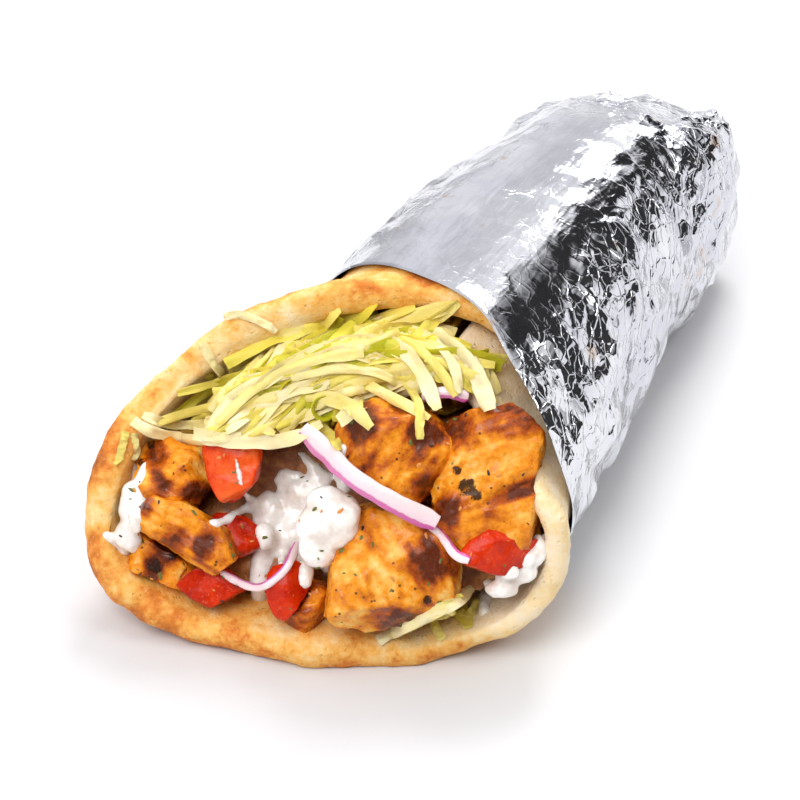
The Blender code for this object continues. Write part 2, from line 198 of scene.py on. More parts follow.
def pointsOf(mesh):
    # the points of a mesh, and its normals there
    found = []
    for kind in ("co", "normal"):
        values = np.empty(len(mesh.vertices) * 3)
        mesh.vertices.foreach_get(kind, values)
        found.append(values.reshape(-1, 3))
    return found


def placePoints(mesh, points, normals, move):
    # puts a mesh's points in place, pushed along their normals by move, in mm
    points = points + normals * (move * mm)[:, None]
    mesh.vertices.foreach_set("co", points.ravel())
    mesh.update()
    return points


def remeshed(mesh, voxel, smoothing):
    # a copy of a mesh with even faces of about that size, in mm
    helper = bpy.data.objects.new("helper", mesh)
    bpy.context.scene.collection.objects.link(helper)
    remesh = helper.modifiers.new("even faces", "REMESH")
    remesh.mode = "VOXEL"
    remesh.voxel_size = voxel * mm
    helper.modifiers.new("smooth", "SMOOTH").iterations = smoothing
    made = bpy.data.meshes.new_from_object(helper.evaluated_get(bpy.context.evaluated_depsgraph_get()))
    bpy.data.objects.remove(helper)
    return made


class Value:
    # wraps a socket, so that a sum or product of values adds its Math nodes
    def __init__(self, look, socket):
        self.look = look
        self.socket = socket

    def maths(self, operation, first, second):
        return self.look.node("ShaderNodeMath", {"operation": operation}, {0: first, 1: second})

    def __add__(self, other):
        return self.maths("ADD", self, other)

    def __sub__(self, other):
        return self.maths("SUBTRACT", self, other)

    def __rsub__(self, other):
        return self.maths("SUBTRACT", other, self)

    def __mul__(self, other):
        return self.maths("MULTIPLY", self, other)

    __radd__ = __add__
    __rmul__ = __mul__


class Look:
    def __init__(self, name, room=None):
        self.material = room or bpy.data.materials.new(name)
        self.material.use_nodes = True
        self.tree = self.material.node_tree
        self.shader = self.tree.nodes["Background" if room else "Principled BSDF"]
        self.place = self.node("ShaderNodeTexCoord", output="Generated" if room else "Object")

    def node(self, kind, settings=None, inputs=None, output=0):
        made = self.tree.nodes.new(kind)
        for name, value in (settings or {}).items():
            if name == "stops":
                while len(made.color_ramp.elements) < len(value):
                    made.color_ramp.elements.new(0.5)
                for element, (position, shade) in zip(made.color_ramp.elements, value):
                    element.position = position
                    element.color = (*shade, 1.0)
            else:
                setattr(made, name, value)
        for name, value in (inputs or {}).items():
            self.feed(made.inputs[name], value)
        return Value(self, made.outputs[output])

    def feed(self, socket, value):
        if isinstance(value, Value):
            self.tree.links.new(value.socket, socket)
        elif isinstance(value, tuple) and len(value) == 3 and socket.type == "RGBA":
            socket.default_value = (*value, 1.0)
        else:
            socket.default_value = value

    def noise(self, size, detail=3.0, roughness=0.55, place=None, distortion=0.0, output=0):
        # size is in mm
        inputs = {"Vector": place or self.place, "Scale": 1 / (size * mm), "Detail": detail}
        inputs |= {"Roughness": roughness, "Distortion": distortion}
        return self.node("ShaderNodeTexNoise", {}, inputs, output)

    def cells(self, size, output="Distance", randomness=1.0, place=None, feature="F1"):
        inputs = {"Vector": place or self.place, "Scale": 1 / (size * mm), "Randomness": randomness}
        return self.node("ShaderNodeTexVoronoi", {"feature": feature}, inputs, output)

    def read(self, name):
        return self.node("ShaderNodeAttribute", {"attribute_name": name}, output="Fac")

    def between(self, value, low, high):
        # 0 below low, 1 above high
        inputs = {"Value": value, "From Min": low, "From Max": high}
        return self.node("ShaderNodeMapRange", {"interpolation_type": "SMOOTHSTEP"}, inputs)

    def mix(self, factor, first, second, blend="MIX"):
        settings = {"data_type": "RGBA", "blend_type": blend}
        return self.node("ShaderNodeMix", settings, {0: factor, 6: first, 7: second}, 2)

    def ramp(self, value, stops):
        return self.node("ShaderNodeValToRGB", {"stops": stops}, {"Fac": value})

    def vectors(self, operation, *parts):
        # Vector Math; the second part of SCALE is a number
        sockets = (0, "Scale") if operation == "SCALE" else range(3)
        return self.node("ShaderNodeVectorMath", {"operation": operation}, dict(zip(sockets, parts)))

    def bump(self, height, depth, below=None):
        # depth is in mm, for a height that goes from 0 to 1
        inputs = {"Height": height, "Distance": depth * mm}
        if below:
            inputs["Normal"] = below
        return self.node("ShaderNodeBump", {}, inputs)

    def finish(self, **sockets):
        titles = {"baseColor": "Base Color", "coat": "Coat Weight", "coatRoughness": "Coat Roughness"}
        titles |= {"subsurface": "Subsurface Weight", "radius": "Subsurface Radius"}
        titles |= {"reach": "Subsurface Scale", "specular": "Specular IOR Level"}
        for name, value in sockets.items():
            self.feed(self.shader.inputs[titles.get(name, name.capitalize())], value)
        return self.material


foil = {
    "edge": (
        (-320, 49.5), (-305, 53), (-285, 61), (-270, 64), (-230, 70), (-180, 74), (-90, 68), (-45, 62),
        (-10, 52.5), (20, 46.5), (40, 49.5),
    ),
    "thickness": 0.9,
    "tail": 196,
    "length": 203,
    "around": 400,
    "lengthwise": 190,
    "hem": 7,  # how deep the front edge is turned in
    "turnLength": 250,  # of foil round the roll
    "creased": (30, 190),  # where the creases start, and over what length
    # spacing round the roll and along it, height on the top, on the sides and at the tail
    "creases": ((19, 42, 0.5, 1.8, 3.0), (8.5, 19, 0.35, 1.5, 2.0), (3.6, 6.5, 0.08, 0.5, 0.95)),
    "facets": ((6.2, 0.46), (2.8, 0.26)),  # size in mm, and how far each leans at random
    "colour": colour(226, 227, 231),
    # tan of the bread, painted as a reflection in the foil
    "paintedTanReflection": colour(196, 160, 120),
}


def foilEdge(angle):
    return curve(foil["edge"], np.where(angle <= 40, angle, angle - 360))


def creases(u, v, spacing, seed):
    # heights from -1 to 1, flat between random creases, which repeat after each turn of the roll
    draw = np.random.default_rng(seed)
    columns, rows = round(foil["turnLength"] / spacing[0]), math.ceil(foil["creased"][1] / spacing[1]) + 3
    wide = foil["turnLength"] / columns
    jitter = draw.uniform(-0.45, 0.45, (columns, rows, 2))
    height = draw.uniform(-1, 1, (columns, rows))
    flat, raised = [], []
    for i, j in product(range(-3, columns + 3), range(rows)):
        x = (i + 0.5 * (j % 2) + jitter[i % columns, j, 0]) * wide
        y = foil["creased"][0] + (j - 1 + jitter[i % columns, j, 1]) * spacing[1]
        flat.append(Vector((x, y)))
        raised.append(height[i % columns, j])
    corners, _, faces, source, _, _ = geometry.delaunay_2d_cdt(flat, [], [], 0, 1e-5)
    tree = BVHTree.FromPolygons([(p.x, p.y, raised[s[0]]) for p, s in zip(corners, source)], faces)
    down = Vector((0, 0, -1))
    found = (tree.ray_cast(Vector((x, y, 5)), down)[0] for x, y in zip(u, v))
    return np.array([hit.z if hit else 0.0 for hit in found])


def foilLook():
    look = Look("crinkledFoil")
    crumple = look.read("crumple")
    wander = look.noise(6.25, 2, 0.5, output="Color")
    moved = look.vectors("MULTIPLY_ADD", wander, (0.004,) * 3, look.place)
    leaning = look.node("ShaderNodeNewGeometry", output="Normal")
    for size, lean in foil["facets"]:  # each small facet leans its own way
        off = look.vectors("SUBTRACT", look.cells(size, "Color", place=moved), (0.5,) * 3)
        leaning = look.vectors("ADD", leaning, look.vectors("SCALE", off, crumple * lean))
    leaning = look.vectors("NORMALIZE", leaning)
    streaks = look.noise(3.4, 2, 0.5, place=look.vectors("MULTIPLY", look.place, (1.0, 0.2, 1.0)))
    edges = (look.cells(size, place=moved, feature="DISTANCE_TO_EDGE") for size in (8.0, 4.0))
    lines = [look.between(edge, 0.07, 0.0) for edge in edges]
    grain = look.noise(0.9, 3, 0.6)
    pressed = (lines[0] * 0.5 + lines[1] * 0.3) * crumple
    normal = look.bump(streaks * 1.5 + grain * 0.06 + pressed, 0.2, leaning)
    # random tan patches in the foil's colour: painted reflection of the bread
    paintedTanReflection = look.between(look.noise(9, 2, 0.5), 0.66, 0.74) * 0.55
    cloud = look.mix(look.between(look.noise(26, 2), 0.35, 0.65), colour(206, 207, 214), foil["colour"])
    tint = look.mix(paintedTanReflection, cloud, foil["paintedTanReflection"])
    rough = 0.07 + 0.07 * look.noise(5, 3)
    return look.finish(baseColor=tint, metallic=1.0, roughness=rough, normal=normal)


def makeFoil():
    around, rows = foil["around"], foil["lengthwise"]
    angle = -90 - 360 * np.arange(around) / around  # the seam is underneath
    angle = np.where(angle < -320, angle + 360, angle)
    edge = foilEdge(angle)
    inner, closing = 5, 16  # rows of the turned-in hem and of the closed end
    t = np.linspace(0, 1, rows)[:, None]
    along = edge + (foil["tail"] - edge) * t
    angles = np.broadcast_to(angle, along.shape)
    u = np.broadcast_to(np.arange(around) / around * foil["turnLength"], along.shape)
    top = ease(np.sin(np.radians(angles)), 0.74, 0.9) * (1 - ease(along, 160, 180))
    left = ease(-np.cos(np.radians(angles)), 0.2, 0.8)
    tail = ease(along, 140, 190)
    # the same places on a ring of 40 mm radius, so that nothing breaks at the seam
    swing = (u / foil["turnLength"] * math.tau).ravel()
    ring = np.stack([40 * np.cos(swing), along.ravel(), 40 * np.sin(swing)], -1)
    bentU = np.mod(u.ravel() + 2.5 * bumps(ring, 17, 5), foil["turnLength"])
    bentV = along.ravel() + 2.5 * bumps(ring, 19, 6)
    height = np.zeros(along.size)
    for n, (spacingU, spacingV, onTop, onSide, onTail) in enumerate(foil["creases"]):
        size = onSide + (onTop - onSide) * top + (onTail - onSide) * tail * (1 - 0.4 * top)
        height += size.ravel() * creases(bentU, bentV, (spacingU, spacingV), 40 + n)
    height = height.reshape(along.shape)
    low = ease(along, edge, edge + 16)
    standOff = -0.2 - 0.6 * (1 - ease(along, edge + 2, edge + 30)) + 1.0 * ease(along, 150, 190)
    lifted = standOff + height * (0.25 + 0.75 * low)
    rests = ease(-np.sin(np.radians(angles)), 0.85, 0.99)
    lifted = np.maximum(lifted, -1.1) * (1 - rests) + 0.15 * height * rests
    outer = skin(angles, along, -lifted, 0.0)
    outer[..., 2] = np.maximum(outer[..., 2], 0.05)
    # the front edge is turned in over the bread
    hem = [skin(angle, edge + foil["hem"] * (1 - n / inner) + 0.5, 1.3, 0.9) for n in range(inner)]
    rim = skin(angle, edge - 0.6, 1.0, 0.4)
    last, closed = outer[-1], []
    centre = np.array([curve(middleAt, foil["tail"]), 0, roll["waist"] * curve(heightAt, foil["tail"])])
    for n in range(1, closing):
        part = n / closing
        scale = math.cos(part * math.pi / 2) ** 0.8
        forward = foil["tail"] + (foil["length"] - foil["tail"]) * math.sin(part * math.pi / 2)
        ringPoints = centre + (last - centre) * scale
        ringPoints[:, 1] = forward
        wobble = bumps(ringPoints * [1, 0.6, 1], 7, 9) * 2.6 + bumps(ringPoints, 3, 10) * 1.1
        ringPoints[:, 1] += wobble * min(1, part * 3) - 1.5 * part
        closed.append(ringPoints)
    points = np.concatenate([np.stack(hem), rim[None], outer, np.stack(closed)])
    total, across = points.shape[:2]
    points = points.reshape(-1, 3)
    tip = np.array([[centre[0], foil["length"] - 2, centre[2]]])
    faces = gridFaces(total, across, closedColumns=True)
    first = (total - 1) * across
    faces += [[first + n, first + (n + 1) % across, total * across] for n in range(across)]
    points = np.concatenate([points, tip])
    weight = 0.16 + 0.84 * (1 - top) * (1 - 0.3 * left)
    weight = np.maximum(weight, 0.95 * tail)
    start, end = np.full((inner + 1) * across, 0.3), np.full((closing - 1) * across + 1, 0.8)
    crumple = np.concatenate([start, weight.ravel(), end])
    points = points * mm + np.array(shift)
    return makePiece("foilSleeve", points, faces, foilLook(), "foil", ("foil",), crisp=24, crumple=crumple)


bread = {
    "thickness": 6.5,
    "start": 75,
    "end": -320,
    "rim": (
        (-320, 58), (-300, 62), (-262, 60), (-245, 52), (-225, 42), (-210, 31), (-195, 18), (-180, 9),
        (-165, 4), (-150, 2), (-120, 4), (-90, 9), (-75, 17), (-50, 28), (-20, 37), (15, 40), (40, 48),
        (75, 52),
    ),
    "columns": 430,
    "rows": 62,
    "cream": colour(252, 220, 158),
    "gold": colour(246, 182, 84),
    "toast": colour(222, 128, 34),
    "brown": colour(150, 74, 18),
    "mmPerDegree": 0.62,  # round the roll
    "slim": 0.78,  # how much thinner the wall is at the right
    # height, size and seed of the waves along the rim and of the lumps
    "waves": ((0.9, 8, 2), (0.4, 2.6, 3)),
    "lumps": ((0.85, 13, 11), (0.42, 5.5, 12), (0.2, 2.4, 13), (0.1, 1.1, 14)),
    # how toasted the bread is, with painted light and shade in it: paler on the right side, where the wall
    # stands in its own shade, and darker under the lower lip: angle round the roll, amount
    "warmth": (
        (-320, -0.02), (-290, 0.06), (-260, 0.06), (-225, -0.02), (-208, -0.14), (-190, 0.0),
        (-172, 0.14), (-140, 0.18), (-90, 0.16), (-60, 0.06), (-35, -0.2), (0, -0.4), (75, -0.4),
    ),
    # toasted spots: angle round the roll, mm from the rim, radius in mm, strength
    "spots": (
        (62, 7, 7, 0.9), (92, 5, 6, 0.5), (128, 6, 7, 0.75), (150, 9, 9, 0.5), (172, 3, 8, 0.5),
        (205, 5, 9, 0.55), (232, 9, 8, 0.6), (252, 4, 8, 0.45), (285, 8, 10, 0.5), (305, 10, 8, 0.65),
    ),
}


def breadInset(angle, along):
    # how deep the bread's outer face lies under the skin: under the foil, and under its own flap
    edge = foilEdge(angle)
    underFoil = (foil["thickness"] + 3 * roll["gap"]) * ease(along, edge - 14, edge - 3)
    return underFoil + (bread["thickness"] + 3 * roll["gap"]) * ease(angle, 2, 36)


def breadLook():
    look = Look("bakedPita")
    inner, spot, rim, hollow = (look.read(name) for name in ("inner", "spot", "rim", "hollow"))
    mottle = look.noise(15, 4, 0.6)
    patches = look.noise(5.5, 4, 0.62)
    fine = look.noise(1.3, 3, 0.6)
    # rim holds the toasted rim and painted shade on the underside
    heat = mottle * 0.95 + patches * 0.8 + fine * 0.35 + spot * 0.45 + rim * 0.15
    # inner: the paler inner face, with painted light on the right wall
    heat = heat - inner * 0.35 + hollow * 0.25 + look.read("warmth") - 0.62
    stops = ((0.0, colour(255, 236, 204)), (0.3, bread["cream"]), (0.55, bread["gold"]))
    stops += ((0.74, bread["toast"]), (1.0, bread["brown"]))
    tint = look.ramp(heat, stops)
    flour = look.between(look.noise(0.8, 2, 0.7), 0.62, 0.74) * 0.35
    tint = look.mix(flour, tint, colour(250, 226, 182))
    specks = look.between(look.cells(2.3), 0.16, 0.06) * look.between(look.noise(6, 2), 0.5, 0.62)
    tint = look.mix(specks * 0.6, tint, colour(170, 98, 44))
    pores = look.between(look.cells(1.5), 0.3, 0.08) * look.between(look.noise(4, 2), 0.42, 0.6)
    stretch = look.noise(1.1, 4, 0.7, place=look.vectors("MULTIPLY", look.place, (1.0, 0.35, 1.0)))
    rough = look.noise(0.55, 4, 0.7)
    height = stretch * 0.8 + rough * 0.45 - pores * 0.5
    normal = look.bump(height, 0.5)
    roughness = 0.62 + 0.2 * fine
    return look.finish(baseColor=tint, roughness=roughness, normal=normal, coat=0.04, coatRoughness=0.5)


def makeBread():
    radius = bread["thickness"] / 2
    columns, rows = bread["columns"], bread["rows"]
    middle = np.linspace(bread["start"], bread["end"], columns)
    # the bread's two side edges are rounded by three thinner columns each
    angle = np.concatenate(([78.0, 77.3, 76.2], middle, [-321.4, -322.6, -323.3]))[:, None]
    thin = np.concatenate(([0.3, 0.62, 0.88], np.ones(columns), [0.88, 0.62, 0.3]))[:, None]
    at = np.clip(angle, bread["end"], bread["start"])
    rim = curve(bread["rim"], at)
    half = radius * thin
    near = np.linspace(1, 0, rows) ** 2.1  # share of the way to the back, rows closer near the rim
    outerAlong = rim + radius + (roll["back"] - rim - radius) * near
    bend = np.linspace(0, math.pi, 15)[1:-1]
    rimAlong = rim + radius - radius * np.sin(bend)
    along = np.concatenate([outerAlong, rimAlong, outerAlong[:, ::-1]], axis=1)
    ones = np.ones((1, rows))
    slim = 1 - bread["slim"] * ease(np.cos(np.radians(at)), 0.05, 0.8) * ease(35 - at, 0, 20)
    depth = np.concatenate([-half * ones, -half * np.cos(bend)[None], half * ones], axis=1)
    depth = np.where(depth > 0, depth * slim, depth)
    places = np.concatenate([at * 0.4, 0 * at + 3, 0 * at], axis=1)
    wave = layered(places, bread["waves"])[:, None]
    shifted = along + wave * (1 - ease(along, rim, rim + 30))
    edge = foilEdge(at)
    inset = np.maximum(breadInset(at, along) + radius + depth, 0.0)
    points = skin(np.broadcast_to(angle, along.shape), shifted, inset)
    # lumps along the surface's own direction
    normal = np.cross(np.gradient(points, axis=0), np.gradient(points, axis=1))
    normal /= np.maximum(np.linalg.norm(normal, axis=2, keepdims=True), 1e-9)
    lumps = layered(points.reshape(-1, 3), bread["lumps"]).reshape(along.shape)
    outside = np.concatenate([np.ones(rows), (np.cos(bend) + 1) / 2, np.zeros(rows)])[None]
    fromRim = along - rim
    puffed = 0.9 * np.exp(-(((fromRim - 6) / 6) ** 2)) * (0.6 + 0.4 * outside)
    seam = -1.4 * np.exp(-(((fromRim - 10.5 - 1.5 * wave) / 1.1) ** 2)) * outside * ease(at, -235, -200)
    seam = seam * ease(-at, 40, 70)
    clear = 1 - 0.8 * ease(along, edge - 8, edge - 1) * outside
    move = (lumps + puffed + seam) * clear * np.where(outside > 0.2, 1, 0.6) * np.minimum(thin, 1)
    outwards = -np.sign(normal[columns // 2, rows - 12, 2])  # the middle column is underneath
    points = points + normal * (outwards * move)[..., None]
    points[..., 2] = np.maximum(points[..., 2], 0.02)
    total, count = points.shape[:2]
    faces = gridFaces(total, count)
    for row in range(total - 1):  # the back end is closed between the two faces
        first, second = row * count, (row + 1) * count
        faces.append([first, first + count - 1, second + count - 1, second])
    for row in (0, total - 1):
        first = row * count
        last = first + count - 1
        faces += [[first + n, first + n + 1, last - 1 - n, last - n] for n in range(count // 2)]
    spot = np.zeros(along.shape)
    for spotAngle, spotBack, size, strength in bread["spots"]:
        aside = (np.mod(at - spotAngle + 180, 360) - 180) * bread["mmPerDegree"]
        reach = np.sqrt(aside**2 + (fromRim - spotBack) ** 2 * 1.6)
        spot = np.maximum(spot, strength * (1 - ease(reach, size * 0.35, size)))
    spot = spot * outside
    # painted shade: the outer face is darker where it faces down, away from the rim; it goes in with the
    # toasted rim under the name rim
    paintedUnderShade = outside * ease(-np.sin(np.radians(at)), 0.2, 0.9) * ease(fromRim, 3, 16)
    rimToastAndUnderShade = np.exp(-((fromRim / 5) ** 2)) * 0.7 + paintedUnderShade
    # the inner face is paler, its own colour; towards the right wall it is paler still, painted light where
    # that wall stands in its own shade
    pale = (1 - outside) * (0.35 + 0.65 * ease(np.cos(np.radians(at)), -0.2, 0.7))
    values = {"inner": pale.ravel(), "spot": spot.ravel(), "rim": rimToastAndUnderShade.ravel()}
    # painted shade: the bread is coloured darker in the hollows between its lumps
    values["hollow"] = np.clip(-move, 0, 1).ravel()
    # toast round the roll, with painted light on the right side and painted shade under the lower lip
    values["warmth"] = np.broadcast_to(curve(bread["warmth"], at), along.shape).ravel()
    points = points.reshape(-1, 3) * mm + np.array(shift)
    return makePiece("pitaBread", points, faces, breadLook(), "pita", ("pita",), **values)


chicken = {
    "voxel": 0.5,
    "grow": 0.7,
    "cuts": (7, 0.82, 0.95, 0.92),  # how many sides are cut flat, how far in at least and most, how flat
    "lumps": ((0.55, 6, 50), (0.28, 2.8, 60)),
    "pits": ((0.12, 1.4, 65),),
    "pale": colour(249, 196, 98),
    "golden": colour(238, 146, 20),
    "browned": colour(176, 78, 4),
    "charred": colour(40, 18, 4),
    # for each piece: grain angle and its lean out of the mouth, browning, place of the sear, size, char spots
    "pieces": (
        {"grain": (50, 0.3), "brown": 0.46, "sear": ((-7, 6, 5, 7), (6, -8, 5, 4), (7, 4, 5, 5)),
         "fibre": 0.6, "shape": (0, 1.0, 1.04, -0.6, 0.6)},
        {"grain": (20, 0.1), "brown": 0.18, "sear": ((4, 13, 11, 5), (-7, 11, 6, 5), (-9, -6, 3, 5)),
         "fibre": 1.1, "block": (34.2, 6.8, -0.4, 13.6, 16.6, 10.5, 9), "lumps": 0.6},
        {"grain": (-60, 0.3), "brown": 0.14, "sear": ((9, 1, 6, 6), (2, -11, 7, 4)), "fibre": 0.8,
         "shape": (0, 1.08, 1.0, -1.0, 0.2)},
        {"grain": (-30, 0.2), "brown": 0.22, "sear": ((-5, 5, 3, 4), (4, -3, 4, 3)), "fibre": 1.3,
         "shape": (0, 1.06, 1.04, 0.8, 0.3)},
        {"grain": (-33, 0.0), "brown": 0.34, "sear": ((-9, 6, 3, 4), (4, -3, 3, 4)), "fibre": 1.0,
         "block": (-31.6, -4.6, 0.4, 15.4, 5.4, 5.5, -31)},
        {"grain": (-20, 0.0), "brown": 0.26, "sear": ((0, 2, 4, 4), (-3, -1, 3, 4)), "fibre": 0.8,
         "shape": (0, 1.06, 1.0, 0, 0)},
        {"grain": (10, 0.0), "brown": 0.6, "sear": ((0, 3, 3, 5),), "fibre": 0.8,
         "shape": (0, 1.0, 1.0, 0, 0)},
    ),
    # black spots: across, up, radius
    "char": (
        (28.6, 5.5, 2.6), (30.5, 3.8, 1.8), (26.5, 9.0, 1.4), (-38.5, -12.3, 2.2), (-34.5, -10.4, 1.3),
        (-44.0, -9.3, 1.0), (20.5, -18.5, 1.5), (12.5, 4.0, 1.2), (-39.5, 13.8, 1.5),
        (-41.5, 10.0, 1.2), (-6.0, -17.5, 2.2), (-9.0, -21.0, 1.8), (33.0, -17.5, 1.2),
    ),
}


def chickenLook():
    look = Look("grilledChicken")
    sear, char, strand, hollow = (look.read(name) for name in ("sear", "char", "strand", "hollow"))
    cloud = look.noise(6.5, 4, 0.6)
    fine = look.noise(1.6, 3, 0.65)
    # the hollows between the lumps turn browner: painted shade
    heat = sear * 0.72 + cloud * 0.8 + fine * 0.5 + strand * 0.42 + hollow * 0.5 - 0.63
    stops = ((0.0, colour(250, 218, 160)), (0.25, chicken["pale"]), (0.5, chicken["golden"]))
    stops += ((0.78, chicken["browned"]), (1.0, colour(96, 36, 2)))
    tint = look.ramp(heat, stops)
    burnt = look.between(char * 0.5 + look.noise(1.3, 4, 0.8), 0.84, 0.94)
    tint = look.mix(burnt * 0.94, tint, chicken["charred"])
    pepper = look.between(look.cells(1.9), 0.2, 0.12) * look.between(look.noise(5, 2), 0.47, 0.56)
    tint = look.mix(pepper * 0.85, tint, colour(66, 38, 20))
    grain = look.noise(0.7, 4, 0.7)
    drops = look.cells(1.1, feature="SMOOTH_F1")
    normal = look.bump(grain * 0.6 + fine * 0.8 - drops * 0.35 - burnt * 0.4, 0.45)
    wet = look.between(look.noise(3.2, 3), 0.38, 0.62)
    moist = {"subsurface": 0.12, "radius": (1.0, 0.45, 0.2), "reach": 0.002, "specular": 0.2}
    moist |= {"coat": 0.4 * wet, "coatRoughness": 0.14}
    return look.finish(baseColor=tint, roughness=0.46 - 0.22 * wet, normal=normal, **moist)


def mouthPlaces(points):
    # how far each point lies across the mouth, up it and proud of it, in mm
    local = (points - np.array(shift)) / mm - np.array(mouth["middle"])
    across, up, out = (local @ np.array(way) for way in (mouthRight, mouthUp, mouthOut))
    flat = across[:, None] * np.array(mouthRight) + up[:, None] * np.array(mouthUp)
    return across, up, out + flat @ np.array(mouthNormal) / mouthNormal.dot(mouthOut)


def reshaped(points, turn, lengthen, widen, right, up):
    # stretches a piece along and across a direction in the mouth plane, and moves it, in mm
    centre = points.mean(axis=0)
    way = mouthWay(math.radians(turn))
    for axis, factor in ((np.array(way), lengthen), (np.array(mouthOut.cross(way)), widen)):
        points = points + np.outer((points - centre) @ axis * (factor - 1), axis)
    return points + np.array(mouthRight * right + mouthUp * up) * mm


def blockMesh(across, up, proud, *halves, squareness=4.5):
    # a rounded block in the mouth: its place, its three half sizes in mm and its turn
    *halves, turn = halves
    body = bmesh.new()
    bmesh.ops.create_cube(body, size=2.0)
    bmesh.ops.subdivide_edges(body, edges=body.edges, cuts=9, use_grid_fill=True)
    facing = mouthFacing @ Matrix.Rotation(math.radians(turn), 3, "Z")
    middle = mouthPoint(across, up, proud)
    for vertex in body.verts:
        way = vertex.co.normalized()
        reach = sum(abs(part) ** squareness for part in way) ** (-1 / squareness)
        vertex.co = middle + facing @ Vector(way[k] * reach * halves[k] * mm for k in range(3))
    mesh = bpy.data.meshes.new("block")
    body.to_mesh(mesh)
    body.free()
    return mesh


def cutPiece(seed, node, facts, block, shape):
    # food with flat cut sides: its mesh, points and normals, and its points from its middle in mm
    mesh = remeshed(blockMesh(*block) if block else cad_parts[node].data.copy(), facts["voxel"], 2)
    points, normals = pointsOf(mesh)
    draw = np.random.default_rng(seed)
    if shape:
        points = reshaped(points + normals * facts["grow"] * mm, *shape)
    centre = points.mean(axis=0)
    cuts, least, most, flatness = facts["cuts"]
    for _ in range(cuts):
        way = draw.normal(size=3)
        way /= np.linalg.norm(way)
        reach = (points - centre) @ way
        limit = np.quantile(reach, draw.uniform(least, most))
        points = points - np.outer(np.maximum(reach - limit, 0) * flatness, way)
    return mesh, points, normals, (points - centre) / mm


def makeChicken(number, facts, look):
    node = f"chicken_{number}"
    cut = cutPiece(100 + number, node, chicken, facts.get("block"), facts.get("shape"))
    mesh, points, normals, local = cut
    turn, lean = facts["grain"]
    grain = np.array((mouthWay(math.radians(turn)) + mouthOut * lean).normalized())
    squeezed = local - np.outer(local @ grain * 0.86, grain)
    strand = bumps(squeezed, 1.5, 20 + number) + 0.6 * bumps(squeezed, 0.8, 30 + number)
    lumps = facts.get("lumps", 1.0) * layered(local, chicken["lumps"], number)
    lumps = lumps + layered(local, chicken["pits"], number)
    gash = np.minimum(bumps(squeezed, 3.4, 70 + number) + 0.35, 0) * 1.6
    move = lumps + facts["fibre"] * (0.26 * strand + gash)
    across, up, _ = mouthPlaces(placePoints(mesh, points, normals, move))
    middleAcross, middleUp = across.mean(), up.mean()
    sear = np.full(len(points), facts["brown"])
    for x, y, wide, high in facts["sear"]:
        reach = np.hypot((across - middleAcross - x) / wide, (up - middleUp - y) / high)
        sear = np.maximum(sear, 1.0 - 0.75 * ease(reach, 0.3, 1.25))
    char = np.zeros(len(points))
    for x, y, size in chicken["char"]:
        char = np.maximum(char, 1 - ease(np.hypot(across - x, up - y), size * 0.4, size * 1.25))
    # the hollows carry painted shade, which the look turns into darker brown
    values = {"sear": sear, "char": char, "strand": strand * 0.5 + 0.5, "hollow": np.clip(0.1 - move, 0, 1.2)}
    return finishPiece(f"chickenPiece{number}", mesh, look, "chicken", (node,), **values)


tomato = {
    "voxel": 0.5,
    "grow": 0.5,
    "cuts": (6, 0.74, 0.88, 0.9),
    "lumps": ((0.35, 3.5, 80), (0.12, 1.2, 85)),
    "flesh": colour(218, 52, 2),
    "deep": colour(160, 14, 1),
    "light": colour(248, 112, 44),
    # paleness, then turn, lengthening, widening and move in the mouth plane, or a block of its own
    "pieces": (
        (0.6, (100, 1.24, 1.04, 0.4, 0.2)),
        (0.0, (-18, 1.08, 1.0, 0.2, 0.4)),
        (0.1, (95, 1.1, 1.0, 0, 0.2)),
        (0.2, None, (35.4, -8.2, 6.8, 9.2, 5.6, 4.4, 33)),
        (0.0, (30, 1.1, 1.1, 0, 0)),
    ),
}


def tomatoLook():
    look = Look("cutTomato")
    cloud = look.noise(5, 3, 0.5)
    veins = look.noise(2.2, 4, 0.6, distortion=1.2)
    pale = look.read("pale")
    stops = ((0.2, tomato["deep"]), (0.5, tomato["flesh"]), (0.8, tomato["light"]))
    heat = cloud * 0.6 + veins * 0.35 + pale * 0.42 - 0.12
    tint = look.ramp(heat, stops)
    fibres = look.between(look.noise(1.0, 3, 0.7, distortion=0.8), 0.6, 0.74)
    tint = look.mix(fibres * 0.35, tint, colour(255, 172, 110))
    normal = look.bump(look.noise(1.4, 3) * 0.7 + look.noise(0.6, 3) * 0.4, 0.35)
    juicy = {"subsurface": 0.15, "radius": (1.0, 0.25, 0.1), "reach": 0.003, "specular": 0.15}
    return look.finish(baseColor=tint, roughness=0.26, normal=normal, coat=0.16, coatRoughness=0.06, **juicy)


def makeTomato(number, look, pale, shape, block=None):
    node = f"tomato_{number}"
    mesh, points, normals, local = cutPiece(200 + number, node, tomato, block, shape)
    placePoints(mesh, points, normals, layered(local, tomato["lumps"], number))
    side = np.clip(normals @ np.array(mouthOut), 0, 1)
    return finishPiece(f"tomatoPiece{number}", mesh, look, "tomato", (node,), pale=pale * side)


def throughPoints(places, count):
    # a smooth line through places, as evenly spaced points
    knots = np.array(places, float)
    padded = np.vstack([2 * knots[0] - knots[1], knots, 2 * knots[-1] - knots[-2]])
    line = []
    for n in range(len(knots) - 1):
        a, b, c, d = padded[n : n + 4]
        square, cube = 2 * a - 5 * b + 4 * c - d, 3 * b - a - 3 * c + d
        for t in np.arange(0, 1, 0.05):
            line.append(0.5 * (2 * b + (c - a) * t + square * t**2 + cube * t**3))
    line = np.array(line + [knots[-1]])
    length = np.concatenate(([0], np.cumsum(np.linalg.norm(np.diff(line, axis=0), axis=1))))
    wanted = np.linspace(0, length[-1], count)
    return np.stack([np.interp(wanted, length, line[:, k]) for k in range(line.shape[1])], -1)


